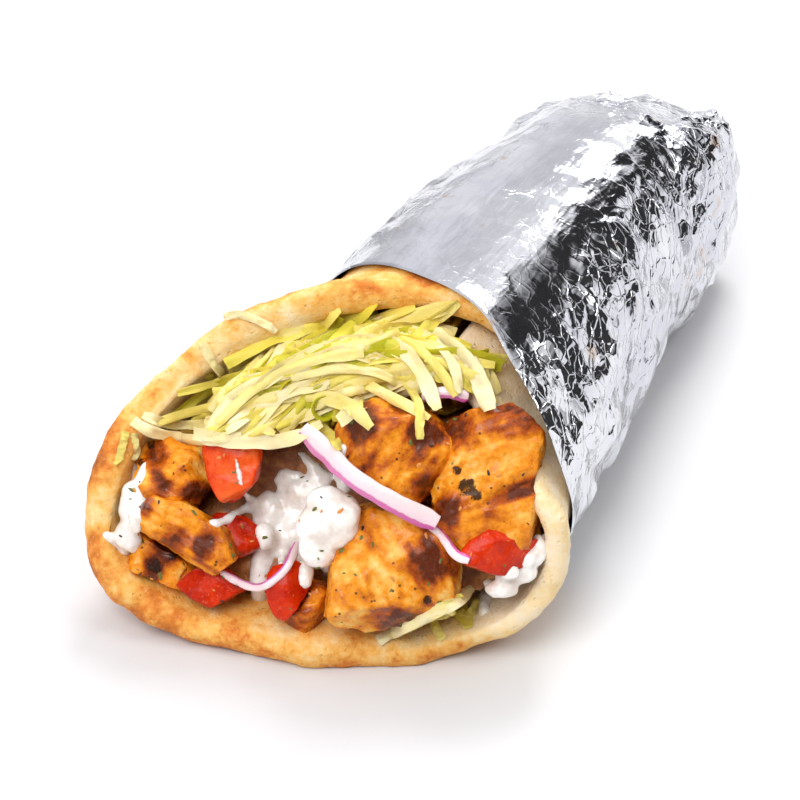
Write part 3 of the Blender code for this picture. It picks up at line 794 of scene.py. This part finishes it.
def strip(line, width, thickness, curl=0.0, turn=(0.0, 0.0), tips=(0.5, 0.5), wavy=0.0, seed=0, ruffle=0.0):
    # a thin strip along a line in the row's frame, in metres: points, faces, and places across and along it
    count, wide = len(line), 7
    t = np.linspace(0, 1, count)
    way = np.gradient(line, axis=0)
    way /= np.linalg.norm(way, axis=1, keepdims=True)
    side = np.cross(way, np.array(mouthOut))
    side /= np.maximum(np.linalg.norm(side, axis=1, keepdims=True), 1e-6)
    out = np.cross(side, way)
    angle = np.radians(turn[0] + (turn[1] - turn[0]) * t)[:, None]
    side, out = side * np.cos(angle) + out * np.sin(angle), out * np.cos(angle) - side * np.sin(angle)
    narrow = np.minimum(1, tips[0] + (1 - tips[0]) * ease(t, 0, 0.08))
    narrow = np.minimum(narrow, tips[1] + (1 - tips[1]) * ease(1 - t, 0, 0.08))
    places = np.stack([t * count * 0.3 + seed, np.full(count, seed * 0.7), np.zeros(count)], -1)
    narrow = narrow * (1 + 0.16 * bumps(places, 1.0, 7) + 0.12 * bumps(places, 3.1, 8))
    half = width / 2 * mm * narrow
    s = np.linspace(-1, 1, wide)
    rise = curl * (1 - s**2) * width * mm
    edge = thickness / 2 * mm * np.sqrt(1.06 - s**2 * 0.92)
    ripple = wavy * mm * np.sin(t[:, None] * (9 + seed % 5) + seed + 0.9 * s) * np.abs(s) ** 1.5
    if ruffle:
        folds = np.stack(np.broadcast_arrays(t[:, None] * count * 0.75, s * width * 0.9, seed * 1.7), -1)
        folds = folds.reshape(-1, 3)
        crimp = bumps(folds, 3.0, 9) + 0.35 * bumps(folds, 1.2, 10)
        ripple = ripple + ruffle * mm * crimp.reshape(count, wide)
    rows = []
    for sign, order in ((1, range(wide)), (-1, range(wide - 1, -1, -1))):
        for k in order:
            lift = rise[k] + sign * edge[k] + ripple[:, k]
            rows.append(line + side * (half * s[k])[:, None] + out * lift[:, None])
    points = np.stack(rows, axis=1)
    ring = 2 * wide
    faces = gridFaces(count, ring, closedColumns=True)
    for row in (0, count - 1):
        first = row * ring
        last = first + ring - 1
        faces += [[first + n, first + n + 1, last - 1 - n, last - n] for n in range(wide - 1)]
    across = np.concatenate([s, s[::-1]])
    return points.reshape(-1, 3), faces, np.tile(across, count), np.repeat(t, ring)


class Pile:
    # gathers small shapes into one mesh
    def __init__(self):
        self.points, self.faces, self.values, self.count = [], [], {}, 0

    def add(self, points, faces, **values):
        self.points.append(points)
        self.faces += [[index + self.count for index in face] for face in faces]
        self.count += len(points)
        for key, numbers in values.items():
            self.values.setdefault(key, []).append(np.broadcast_to(numbers, len(points)))

    def make(self, name, look, slot, replaced=(), crisp=50):
        values = {key: np.concatenate(numbers) for key, numbers in self.values.items()} | {"crisp": crisp}
        return makePiece(name, np.concatenate(self.points), self.faces, look, slot, replaced, **values)


def treeOf(pieces):
    points, faces = [], []
    for piece in pieces:
        first = len(points)
        points += [vertex.co.copy() for vertex in piece.data.vertices]
        faces += [[index + first for index in face.vertices] for face in piece.data.polygons]
    return BVHTree.FromPolygons(points, faces)


def proudAt(tree, across, up, missing=0.0):
    # how far the surface that shows at this spot of the mouth stands proud of it, in mm
    hit = tree.ray_cast(mouthPoint(across, up, lookFrom), -mouthOut)
    return lookFrom - hit[3] / mm if hit[0] else missing


def sliding(values, reach, how):
    # each value made from its neighbours within reach
    padded = np.pad(values, reach, mode="edge")
    return how([padded[n : n + len(values)] for n in range(2 * reach + 1)], axis=0)


def draped(tree, places, count, lift, stiff=3):
    # a line over the surface through (across, up, lift) places, which bridges its hollows
    line = throughPoints([(*place[:2], place[2] if len(place) > 2 else 0.0) for place in places], count)
    proud = np.array([proudAt(tree, across, up, -2.0) for across, up, _ in line])
    smooth = sliding(sliding(proud, stiff, np.max), stiff, np.mean)
    return np.array([mouthPoint(a, u, p + extra + lift) for (a, u, extra), p in zip(line, smooth)])


lettuce = {
    "thickness": 0.2,
    "green": colour(196, 192, 24),
    "yellow": colour(240, 220, 76),
    "cream": colour(255, 242, 204),
    "randomStrips": 125,
    "lowest": 15.5,  # how far up the mouth they start
    "coreDrop": 9,  # how far the hidden core stays back at the sides, in mm
    "seed": 7,
    # width, greenness, lift and turn of a strip, then its places across and up the mouth
    "strips": (
        (2.6, 0.0, 1.9, (10, -30), ((-43.1, 19.2), (-38.6, 16.6), (-32, 15.2), (-25.3, 15), (-19, 15.8))),
        (2.2, 0.05, 1.5, (20, -10), ((-41.0, 20.4), (-35.6, 18.4), (-29.6, 18.2), (-22.6, 19.2))),
        (1.8, 0.3, 1.3, (0, 10), ((-39.2, 18.2), (-32.4, 20.6), (-22, 23), (-11.3, 24.5), (-3.8, 26.8))),
        (2.8, 0.0, 2.4, (-15, 20), ((-29.6, 16.5), (-21.4, 14.7), (-13, 14.6), (-6.8, 16.0), (-2.0, 18.6))),
        (2.0, 0.5, 1.3, (0, 15), ((-27, 24.8), (-21.4, 26.4), (-12.6, 29), (-4.8, 30.4), (3.0, 30.4))),
        (2.4, 0.10, 3.0, (-10, 25), ((-26, 21), (-21.3, 26.7), (-13.7, 32), (-5.2, 35.4), (3.8, 37.2))),
        (2.2, 0.16, 2.6, (0, 0), ((-24.4, 18.6), (-18, 24.7), (-10.4, 29.5), (-1.8, 32.4), (7, 33.4))),
        (2.6, 0.0, 3.0, (10, -10), ((-22.4, 17.0), (-16, 21.7), (-8.4, 25.5), (0.8, 27.8))),
        (2.0, 0.2, 2.2, (0, -20), ((-13.2, 33.6), (-5.6, 36.3), (3.8, 38.4), (12.8, 38.6))),
        (2.2, 0.6, 1.6, (0, 25), ((-6.8, 36.4), (0.5, 38.8), (8.7, 39.6), (16.2, 38.4), (20.0, 35.0))),
        (2.0, 0.3, 2.4, (0, 0), ((4, 38.6), (11.2, 37.9), (18.0, 34.6), (23.0, 29.8), (26.4, 24.4))),
        (2.8, 0.0, 3.2, (-30, 20), ((10.2, 37.7), (16.1, 33.6), (19.7, 28.2), (22.4, 21.6))),
        (1.8, 0.12, 2.8, (0, 20), ((-8.6, 28.2), (0.5, 30), (8.7, 29.6), (15.3, 26.6))),
        (2.6, 0.04, 2.4, (20, -10), ((-5.8, 31.5), (1.5, 33.6), (8, 32.8), (15.2, 29.9))),
        (2.2, 0.08, 3.0, (0, 0), ((-3.8, 22), (3.4, 25.2), (10.3, 26.4), (16.3, 24.8))),
        (3.6, 0.2, 2.6, (-30, 30), ((1.3, 30.4), (4.2, 26), (5.4, 20.4))),
        (2.2, 0.7, 2.2, (0, 0), ((-1.3, 28.4), (1.6, 23.6), (1.0, 19.0))),
        (1.8, 0.2, 2.2, (0, 0), ((-22.3, 22.9), (-17.5, 18.8), (-12.0, 16.4))),
        (2.0, 0.3, 2.0, (20, -20), ((15.2, 29.1), (18.4, 22.7), (18.8, 15.4))),
        (2.0, 0.35, 1.6, (0, 30), ((-6.3, 20.7), (-1.5, 17.5), (2.3, 13.2))),
        (1.7, 0.0, 1.0, (-10, 20), ((-23.5, 41.6), (-20.0, 42.0), (-15.6, 40.5), (-12, 38.2))),
        (1.8, 0.0, 1.2, (0, 40), ((-28.0, 35.8), (-26.2, 32.2), (-24.2, 28.8), (-23.4, 25))),
        (1.6, 0.55, 0.8, (0, 0), ((-27.4, 29), (-25.5, 27.2), (-23, 25.0))),
        (1.7, 0.3, 0.9, (30, -40), ((-44.4, 16.8), (-45.5, 12.9), (-46.6, 9.4))),
        (1.5, 0.1, 1.2, (0, 0), ((-42.8, 16.4), (-42.4, 12.8), (-43.4, 10.6))),
        (2.0, 0.5, 1.4, (0, 0), ((17.7, 31.8), (23.3, 29.6), (27.7, 25.9))),
        (4.0, 0.0, 2.4, (-35, -10), ((21.6, 37.9), (27, 34.0), (31.0, 28.6), (33.4, 21.4))),
        (2.2, 0.0, 2.8, (0, 30), ((17.0, 38.9), (22.4, 35.6), (25.9, 30.6), (27.4, 25.0))),
        (2.0, 0.6, 0.8, (0, 0), ((10, 34.0), (16, 32.5), (21, 31.0), (25, 28.0))),
        (3.0, 0.1, 1.6, (20, -20), ((23, 36.0), (28.5, 33.0), (32.5, 29.6), (35.4, 25.0))),
        (2.6, 0.3, 2.0, (-20, 10), ((20, 32.0), (26, 30.5), (31, 27.6), (34.5, 22.6))),
        (2.2, 0.5, 1.4, (0, 20), ((22, 28.6), (27, 27.6), (31.6, 25.0))),
        (2.8, 0.15, 2.4, (10, -10), ((-20.4, 20.0), (-13, 23.7), (-4.4, 24.5), (4, 22.4), (8.6, 17.8))),
        (3.0, 0.05, 2.8, (-20, 20), ((-16.4, 26.0), (-8, 31.7), (2.4, 35.5), (11, 35.4), (17.6, 31.8))),
        (2.2, 0.4, 0.8, (10, 0), ((-31, 18), (-26.4, 21.6), (-23, 25.6), (-19.6, 29.6))),
    ),
    # the same on the lower lip
    "lip": (
        (2.8, 0.0, 0.9, (0, 15), ((9.9, -28.2), (16, -24.6), (22.8, -21.0), (30, -16.9))),
        (2.4, 0.1, 1.1, (20, -20), ((13.0, -26.6), (19.2, -22.8), (26.0, -18.6))),
        (2.4, 0.3, 0.9, (40, -40), ((25.0, -19.6), (26.2, -22.2), (29.6, -23.0), (31.6, -20.0))),
        (3.0, 0.4, 0.7, (0, 20), ((26.5, -17.6), (28.0, -21.4), (29.3, -25.6))),
        (2.0, 0.2, 0.7, (0, 0), ((20.6, -22.2), (22.4, -25.6), (23.8, -27.9))),
        (2.4, 0.3, 0.6, (0, 0), ((18.6, -23.2), (22.6, -21.8), (27.0, -20.8))),
    ),
    # a curled ring: across, up, proud of the heap, radius
    "ring": (-1.6, 21.6, 3.2, 2.7),
}


def lettuceLook():
    look = Look("shreddedLettuce")
    green, across, along, tone = (look.read(name) for name in ("green", "across", "along", "tone"))
    cloud = look.noise(6, 3, 0.6)
    place = look.node("ShaderNodeCombineXYZ", {}, {0: along * 0.004, 1: across * 0.0035, 2: tone * 0.09})
    veins = look.noise(0.9, 4, 0.65, place=place, distortion=0.4)
    heat = green * 0.85 + cloud * 0.34 + veins * 0.3 - 0.19
    stops = ((0.0, lettuce["cream"]), (0.3, colour(254, 232, 128)))
    stops += ((0.6, lettuce["yellow"]), (0.95, lettuce["green"]))
    tint = look.ramp(heat, stops)
    normal = look.bump(veins * 0.8 + look.noise(0.7, 3) * 0.3, 0.3)
    leaf = {"subsurface": 0.15, "radius": (1.0, 0.9, 0.4), "reach": 0.0015}
    return look.finish(baseColor=tint, roughness=0.34, normal=normal, coat=0.12, coatRoughness=0.2, **leaf)


def makeLettuceCore():
    look = Look("lettuceBelowInPaintedShade")
    heat = look.noise(4, 4, 0.6) * 0.7 + look.noise(1.4, 3) * 0.3
    # dark olive and gold, painted shade for the lettuce deep in the heap and under the flap
    stops = ((0.3, colour(120, 84, 4)), (0.5, colour(172, 132, 14)), (0.7, colour(214, 180, 60)))
    tint = look.ramp(heat, stops)
    normal = look.bump(look.noise(1.6, 4, 0.6), 0.8)
    mesh = remeshed(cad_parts["lettuce"].data.copy(), 1.3, 2)
    points, normals = pointsOf(mesh)
    points = placePoints(mesh, points, normals, -2.6 + 1.1 * bumps(points / mm, 4, 90))
    across, _, proud = mouthPlaces(points)
    sides = lettuce["coreDrop"] * np.maximum(ease(-across, 22, 30), ease(across, 27, 33))
    placePoints(mesh, points, -np.array([mouthOut]), sides * ease(proud, -12, -4))
    finish = look.finish(baseColor=tint, roughness=0.5, normal=normal)
    return finishPiece("lettuceCore", mesh, finish, "lettuce", ("lettuce",))


def addShred(pile, line, width, green, turn, seed):
    curl = (0.10, -0.16, 0.14, -0.05)[seed % 4]
    ends = (0.85, 0.7)
    points, faces, across, along = strip(line, width, lettuce["thickness"], curl, turn, ends, 0.4, seed, 0.55)
    values = {"green": green, "across": across, "along": along * len(line), "tone": (seed * 0.37) % 1}
    pile.add(points, faces, **values)


def makeShreds(tree, look):
    pile, draw = Pile(), random.Random(lettuce["seed"])
    for n in range(lettuce["randomStrips"]):
        across, up = draw.uniform(-18, 24), draw.uniform(20, 37)
        outside = across < -8 and up > 28 + (across + 20) * 0.7 or across > 14 and up > 33
        if outside or across > -2 and up < 27:  # off the heap, or over the chicken
            across, up = draw.uniform(-8, 12), draw.uniform(24, 35)
        turn, length = math.radians(draw.gauss(20 - 0.8 * across, 13)), draw.uniform(18, 40)
        bow = draw.uniform(-0.1, 0.3) * length
        places = []
        for part in (-0.5, -0.25, 0.0, 0.25, 0.5):
            x, y = part * length, bow * (0.5 - 2 * part * part) + draw.gauss(0, 0.7)
            right = across + x * math.cos(turn) - y * math.sin(turn)
            places.append((right, up + x * math.sin(turn) + y * math.cos(turn)))
        raised = max(0.0, lettuce["lowest"] - min(place[1] for place in places))
        places = [(place[0], place[1] + raised) for place in places]
        lift = draw.uniform(-0.6, 1.4) + 0.8 * n / lettuce["randomStrips"]
        line = draped(tree, places, 28, lift)
        twist = draw.uniform(-45, 45)
        addShred(pile, line, draw.uniform(1.8, 4.2), draw.random() ** 1.2, (twist, draw.uniform(-45, 45)), n)
    for n, (width, green, lift, turn, places) in enumerate(lettuce["strips"]):
        addShred(pile, draped(tree, places, 34, lift), width, green, turn, 200 + n)
    across, up, proud, radius = lettuce["ring"]
    middle = mouthPoint(across, up, proudAt(tree, across, up) + proud)
    places = []
    for n in range(40):
        reach = radius * (1 - 0.013 * n)
        places.append(middle + mouthWay(math.radians(n * 14)) * reach * mm)
    line = np.array(places) - np.outer(np.linspace(0, 1.2, 40) * mm, mouthOut)
    points, faces, x, y = strip(line, 3.4, 0.5, 0.05, (78, 70), (0.8, 0.6), 0.1, 3)
    pile.add(points, faces, green=1.0, across=x, along=y * 30, tone=0.3)
    return pile.make("lettuceShreds", look, "lettuce")


def makeLipShreds(tree, look):
    pile = Pile()
    for n, (width, green, lift, turn, places) in enumerate(lettuce["lip"]):
        addShred(pile, draped(tree, places, 30, lift, 2), width, green, turn, 300 + n)
    return pile.make("lettuceOnLip", look, "lettuce", ("lettuce_on_lip",))


onion = {
    "white": colour(246, 226, 226),
    "purple": colour(204, 84, 160),
    "thickness": 1.1,
    # node, width, turn, purple edge side, then places across, up and lift
    "slices": (
        ("onion_1", 4.2, (-16, -22), 1,
         ((-6.0, 17.4, 1.0), (-1, 12.6, 1.5), (5.5, 6.9, 1.5), (14, 1.8, 1.0), (22.3, -2.2, 1.0))),
        ("onion_2", 1.9, (0, 10), -1,
         ((13.0, 1.0, 0), (18, -1.0, 0.3), (22.8, -4.2, 0.6), (26, -8.4, 0.4), (29.0, -9.8, 0.3))),
        ("onion_3", 1.7, (30, 10), -1,
         ((-24, -13.6, 0.6), (-19.5, -16, 0.6), (-15, -16.4, 0.8), (-10, -12.6, 0.8), (-7.6, -7.5, 0.8))),
        ("onion_4", 2.4, (0, 0), 1,
         ((19.5, 24.0, 0.6), (24.0, 25.2, 0.8), (29.0, 24.2, 0.6))),
    ),
}


def onionLook():
    look = Look("redOnion")
    purple, along = look.read("purple"), look.read("along")
    streak = look.noise(1.5, 3, 0.6)
    edge = look.between(purple + 0.2 * streak, 0.76, 0.86)
    blush = look.between(purple + 0.3 * streak, 0.1, 1.0) * 0.3
    tint = look.mix(blush, onion["white"], colour(236, 170, 206))
    tint = look.mix(edge * (0.72 + 0.28 * along), tint, onion["purple"])
    normal = look.bump(look.noise(0.9, 3) * 0.8, 0.22)
    moist = {"subsurface": 0.3, "radius": (1.0, 0.8, 0.9), "reach": 0.002}
    return look.finish(baseColor=tint, roughness=0.3, normal=normal, coat=0.35, coatRoughness=0.12, **moist)


def makeOnion(tree, look, node, width, turn, purpleSide, places):
    line = draped(tree, places, 44, 0.2, 6)
    points, faces, across, along = strip(line, width, onion["thickness"], 0.05, turn, (0.7, 0.75), 0.05, 5)
    values = {"purple": (across * purpleSide + 1) / 2, "along": along}
    return makePiece(f"onionSlice{node[-1]}", points, faces, look, "onion", (node,), crisp=50, **values)


sauce = {
    "voxel": 0.55,
    "lumps": ((0.3, 3.0, 95), (0.15, 1.4, 96)),
    "white": colour(250, 246, 240),
    "shade": colour(226, 214, 204),
    # mounds: across, up, proud and half sizes; blobs: the same, from what lies under them; runs: a line of
    # across, up and radius
    "middle": {
        "mounds": (
            (-0.6, -3.0, 8.2, 7.2, 5.6, 4.0), (2.2, -0.4, 8.8, 4.6, 4.6, 3.6),
            (-2.6, -7.2, 7.6, 4.6, 5.2, 3.6), (-0.6, 1.6, 8.6, 4.8, 4.2, 3.4),
        ),
        "blobs": (
            (-3.5, 6.0, -0.5, 3.4, 3.4, 2.2), (-13.6, -2.6, 0.0, 4.6, 6.6, 2.8),
            (-8.0, -4.0, 0.0, 5.6, 5.2, 2.6), (-7.0, 2.6, 0.0, 4.6, 3.6, 2.2),
            (-9.8, 6.4, -0.4, 3.6, 2.6, 1.8), (-2.4, -8.8, -0.4, 4.2, 4.4, 2.8),
            (1.5, 12.8, -0.3, 2.4, 2.6, 1.0),
        ),
        "runs": (
            ((-1.2, -8, 2.6), (-0.6, -11, 2.3), (-0.8, -13.0, 2.0)),
            ((-5.0, -8, 2.6), (-5.8, -12.4, 2.2), (-6.0, -15.0, 1.9)),
            ((-16, 0.4, 1.6), (-19.4, -0.4, 1.2), (-23.0, -2.4, 1.2), (-25.4, -3.4, 1.6)),
            ((-14.4, -7, 3.0), (-15.2, -11, 2.6), (-15.8, -15.6, 2.5), (-16.0, -19.4, 2.1)),
            ((-20.4, 11.2, 0.6), (-19.6, 7.4, 0.8), (-18.8, 3.4, 1.0), (-17, 0.4, 1.4)),
            ((-10, 1.6, 1.6), (-6, 2.4, 1.4), (-2, 2.6, 1.8)),
            ((-7.0, 12.0, 0.9), (-4.6, 9.6, 1.2), (-3.4, 8.0, 1.6)),
            ((-9, 2.4, 1.0), (-13.6, 1.4, 1.2), (-15, -1, 1.6)),
            ((-9.6, -7, 1.8), (-10.8, -9.8, 1.5), (-11.0, -11.8, 1.0)),
            ((2.5, 4.5, 1.8), (1.5, 9, 1.2), (1.5, 12.8, 1.2)),
        ),
    },
    "left": {
        "mounds": ((-43.4, 0.4, 1.6, 2.9, 6.2, 2.3), (-44.2, -5.6, 1.4, 3.2, 3.6, 2.2)),
        "blobs": ((-43.4, -0.4, -0.2, 3.6, 6.4, 2.0), (-44.6, -7.0, -0.3, 3.4, 3.6, 1.9)),
        "runs": (
            ((-43.4, 9.6, 1.0), (-43.6, 6.0, 1.9), (-43.9, 1.4, 2.6), (-44.8, -5, 3.0)),
            ((-49.4, -5.4, 0.9), (-47.8, -6.6, 1.3), (-46.0, -8.0, 1.9)),
            ((-40.6, 9.8, 0.8), (-41.2, 7.0, 1.3), (-43.0, 4.0, 1.8)),
        ),
    },
    "right": {
        "mounds": (
            (36.0, -16.4, 2.2, 4.0, 2.3, 2.2), (40.4, -12.6, 2.4, 3.4, 3.0, 2.0),
            (43.8, -8.0, 2.2, 2.2, 3.6, 1.8),
        ),
        "blobs": ((34.0, -17.2, -0.5, 3.2, 2.6, 1.6), (38.4, -13.4, -0.7, 4.6, 2.6, 1.5)),
        "runs": (
            ((45.6, -5.0, 0.8), (42.6, -8.6, 1.6), (39.4, -12.0, 2.0), (35, -16, 2.2)),
            ((34.4, -17.2, 2.0), (33.2, -20, 1.8), (32.8, -22.6, 1.6)),
            ((36, -16.6, 1.4), (37.6, -18.4, 1.0)),
        ),
    },
}


def sauceLook():
    look = Look("yoghurtSauce")
    cloud = look.noise(5, 3, 0.6)
    tint = look.mix(look.between(cloud, 0.4, 0.7), sauce["white"], sauce["shade"])
    bits = look.between(look.noise(2.4, 2, 0.5), 0.66, 0.72)
    tint = look.mix(bits * 0.5, tint, colour(232, 226, 190))
    normal = look.bump(look.noise(2.2, 3) * 0.8 + look.noise(0.8, 2) * 0.2, 0.35)
    creamy = {"subsurface": 0.4, "radius": (1.0, 0.9, 0.75), "reach": 0.002}
    return look.finish(baseColor=tint, roughness=0.22, normal=normal, coat=0.5, coatRoughness=0.08, **creamy)


def makeSauce(tree, part, look):
    body = bmesh.new()

    def ball(across, up, proud, halves):
        made = bmesh.ops.create_icosphere(body, subdivisions=2, radius=1.0)["verts"]
        size = Matrix.Diagonal(Vector(halves) * mm).to_4x4()
        placed = Matrix.Translation(mouthPoint(across, up, proud)) @ mouthFacing.to_4x4() @ size
        bmesh.ops.transform(body, matrix=placed, verts=made)

    for across, up, proud, *halves in sauce[part]["mounds"]:
        ball(across, up, proud, halves)
    for across, up, sink, *halves in sauce[part]["blobs"]:
        for n in range(9):  # a blob is several lobes that follow what lies under it
            turn, far = n * 2.4, 0.62 * math.sqrt(n / 8)
            x, y = across + halves[0] * far * math.cos(turn), up + halves[1] * far * math.sin(turn)
            lobe = [halves[0] * 0.5, halves[1] * 0.5, halves[2] * (1.0 - 0.45 * far)]
            ball(x, y, proudAt(tree, x, y) + sink, lobe)
    for run in sauce[part]["runs"]:
        line = throughPoints(run, 26)
        proud = sliding(np.array([proudAt(tree, x, y) for x, y, _ in line]), 4, np.mean)
        for (x, y, radius), high in zip(line, proud):
            ball(x, y, high - 0.1 * radius, (radius, radius, radius * 0.7))
    mesh = bpy.data.meshes.new("sauce")
    body.to_mesh(mesh)
    body.free()
    mesh = remeshed(mesh, sauce["voxel"], 5)
    points, normals = pointsOf(mesh)
    placePoints(mesh, points, normals, layered(points / mm, sauce["lumps"]))
    return finishPiece(f"sauce{part.capitalize()}", mesh, look, "sauce", (f"sauce_{part}",))


packed = {
    "voxel": 1.3,
    "lumps": ((0.5, 5, 97), (0.3, 2.6, 98)),
    # the filling's brown, darkened into painted shade for the gaps between the pieces
    "paintedGapShade": colour(84, 42, 16),
    "middle": colour(146, 84, 32),
    "light": colour(206, 140, 66),
}


def makeFilling():
    look = Look("packedFilling")
    heat = look.noise(5, 4, 0.6) * 0.7 + look.noise(1.6, 3) * 0.3
    # browns darkened into painted shade, for the gaps where the filling shows
    stops = ((0.3, packed["paintedGapShade"]), (0.5, packed["middle"]), (0.7, packed["light"]))
    tint = look.ramp(heat, stops)
    normal = look.bump(look.noise(1.5, 4, 0.65), 0.8)
    finish = look.finish(baseColor=tint, roughness=0.42, normal=normal, coat=0.25, coatRoughness=0.2)
    mesh = remeshed(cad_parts["filling_core"].data.copy(), packed["voxel"], 1)
    points, normals = pointsOf(mesh)
    placePoints(mesh, points, normals, layered(points / mm, packed["lumps"]))
    return finishPiece("fillingCore", mesh, finish, "filling", ("filling_core",))


flecks = {
    "count": 170,
    "seed": 31,
    "size": (0.22, 0.65),
    "herb": colour(96, 104, 36),
    "pepper": colour(40, 26, 18),
    "crumb": colour(214, 140, 60),
}


def makeFlecks(tree):
    look = Look("herbsAndPepper")
    stops = ((0.0, flecks["pepper"]), (0.45, flecks["herb"]), (0.9, flecks["crumb"]))
    tint = look.ramp(look.read("kind"), stops)
    finish = look.finish(baseColor=tint, roughness=0.5)
    pile, draw = Pile(), random.Random(flecks["seed"])
    spots = []
    for _ in range(flecks["count"]):
        spots.append((draw.uniform(-48, 46), draw.uniform(-24, 22), draw.choice((0.0, 0.45, 0.45, 0.9, 0.9))))
    for across, up, shade in spots:
        if shade == 0.9 and draw.random() < 0.5:
            continue
        size = draw.uniform(*flecks["size"]) * (1.3 if shade else 1.0)
        hit = tree.ray_cast(mouthPoint(across, up, lookFrom), -mouthOut)
        if not hit[0]:
            continue
        around = Matrix.Rotation(draw.uniform(0, math.tau), 3, hit[1]) @ hit[1].orthogonal().normalized()
        aside = hit[1].cross(around)
        flake = []
        for k in range(6):
            turn, reach = k * math.tau / 6, size * draw.uniform(0.5, 1.0)
            flat = around * math.cos(turn) * reach * 1.4 + aside * math.sin(turn) * reach * 0.7
            flake.append(hit[0] + flat * mm + hit[1] * 0.05 * mm)
        top = hit[0] + hit[1] * size * 0.5 * mm
        low = hit[0] - hit[1] * 0.3 * mm
        faces = [[k, (k + 1) % 6, 6] for k in range(6)] + [[(k + 1) % 6, k, 7] for k in range(6)]
        pile.add(np.array([*flake, top, low]), faces, kind=shade)
    return pile.make("herbFlecks", finish, "filling")


studio = {
    "floor": colour(216, 216, 217),
    "lens": 123.75,
    "distance": 0.62,
    "aim": (-0.00447, -0.03322, 0.03091),
    # direction from the wrap, distance, width, watts
    "lights": (
        ("key", (-0.12, 0.7, 1.0), 0.9, 0.4, 4.6),
        ("back", (-0.08, 0.92, 0.34), 0.95, 0.24, 0.26),
        ("right", (0.78, 0.1, 1.0), 1.0, 0.5, 2.2),
        ("front", (-0.05, -1.0, 1.3), 1.1, 0.7, 6.7),
    ),
    "sky": 0.9,
    # grey of the room's walls from left to right, and how its ceiling takes over upwards
    "walls": ((0.0, 0.4), (0.14, 0.7), (0.24, 1.15), (0.34, 0.85), (0.49, 1.3), (0.55, 0.03), (1.0, 0.06)),
    "ceiling": ((0.74, 0.0), (0.86, 1.0)),
}


def makeStage():
    look = Look("paleFloor")
    shade = look.mix(look.noise(60, 2), studio["floor"], colour(213, 213, 215))
    finish = look.finish(baseColor=shade, roughness=0.7)
    size, low = 3.0, -0.0002  # half its width, and just under the wrap
    mesh = bpy.data.meshes.new("floor")
    corners = [(x * size, y * size, low) for x, y in ((-1, -1), (1, -1), (1, 1), (-1, 1))]
    mesh.from_pydata(corners, [], [(0, 1, 2, 3)])
    mesh.materials.append(finish)
    floor = bpy.data.objects.new("floor", mesh)
    bpy.context.scene.collection.objects.link(floor)


def makeLights():
    middle = Vector((0, -0.02, 0.03))
    for name, way, distance, width, watts in studio["lights"]:
        light = bpy.data.lights.new(name, "AREA")
        light.shape = "DISK"
        light.size = width
        light.energy = watts
        lamp = bpy.data.objects.new(name, light)
        lamp.location = middle + Vector(way).normalized() * distance
        lamp.rotation_euler = (middle - lamp.location).to_track_quat("-Z", "Y").to_euler()
        bpy.context.scene.collection.objects.link(lamp)
    world = bpy.data.worlds.new("studio")
    bpy.context.scene.world = world
    room = Look("studio", world)
    shades = []
    for axis, stops in (("X", studio["walls"]), ("Z", studio["ceiling"])):
        level = room.node("ShaderNodeSeparateXYZ", {}, {0: room.place}, axis) * 0.5 + 0.5
        shades.append(room.ramp(level, [(place, (grey, grey, grey * 1.03)) for place, grey in stops]))
    room.finish(color=room.mix(shades[1], shades[0], (1.0, 1.0, 1.02)), strength=studio["sky"])


def makeCamera():
    camera = bpy.data.cameras.new("camera")
    camera.lens = studio["lens"]
    camera.sensor_width = 36
    camera.clip_start = 0.01
    shown = bpy.data.objects.new("camera", camera)
    aim = Vector(studio["aim"])
    shown.location = aim + mouthOut * studio["distance"]
    shown.rotation_euler = (-mouthOut).to_track_quat("-Z", "Y").to_euler()
    bpy.context.scene.collection.objects.link(shown)
    bpy.context.scene.camera = shown


makeStage()
makeLights()
makeCamera()
bpy.context.scene.view_settings.view_transform = "Standard"
print("stage, lights and camera are set")

sleeve = makeFoil()
print("foil made:", len(sleeve.data.vertices), "points")
pita = makeBread()
print("bread made:", len(pita.data.vertices), "points")

filling = makeFilling()
meat = chickenLook()
meats = [makeChicken(n, facts, meat) for n, facts in enumerate(chicken["pieces"], 1)]
print("chicken made:", sum(len(piece.data.vertices) for piece in meats), "points")
redLook = tomatoLook()
tomatoes = [makeTomato(n, redLook, *facts) for n, facts in enumerate(tomato["pieces"], 1)]
core = makeLettuceCore()
under = treeOf([pita, filling, core, *meats, *tomatoes])
print("tomato and cores made")

leafLook = lettuceLook()
shreds = makeShreds(under, leafLook)
lipShreds = makeLipShreds(under, leafLook)
print("lettuce made:", len(shreds.data.vertices) + len(lipShreds.data.vertices), "points")

creamy = sauceLook()
sauces = [makeSauce(under, part, creamy) for part in ("middle", "left", "right")]
underOnion = treeOf([pita, filling, core, *meats, *tomatoes, *sauces])
onionSkin = onionLook()
slices = [makeOnion(underOnion, onionSkin, *facts) for facts in onion["slices"]]
print("sauce and onion made:", len(sauces) + len(slices), "pieces")

makeFlecks(treeOf([*meats, *sauces, *tomatoes]))
print("flecks made")
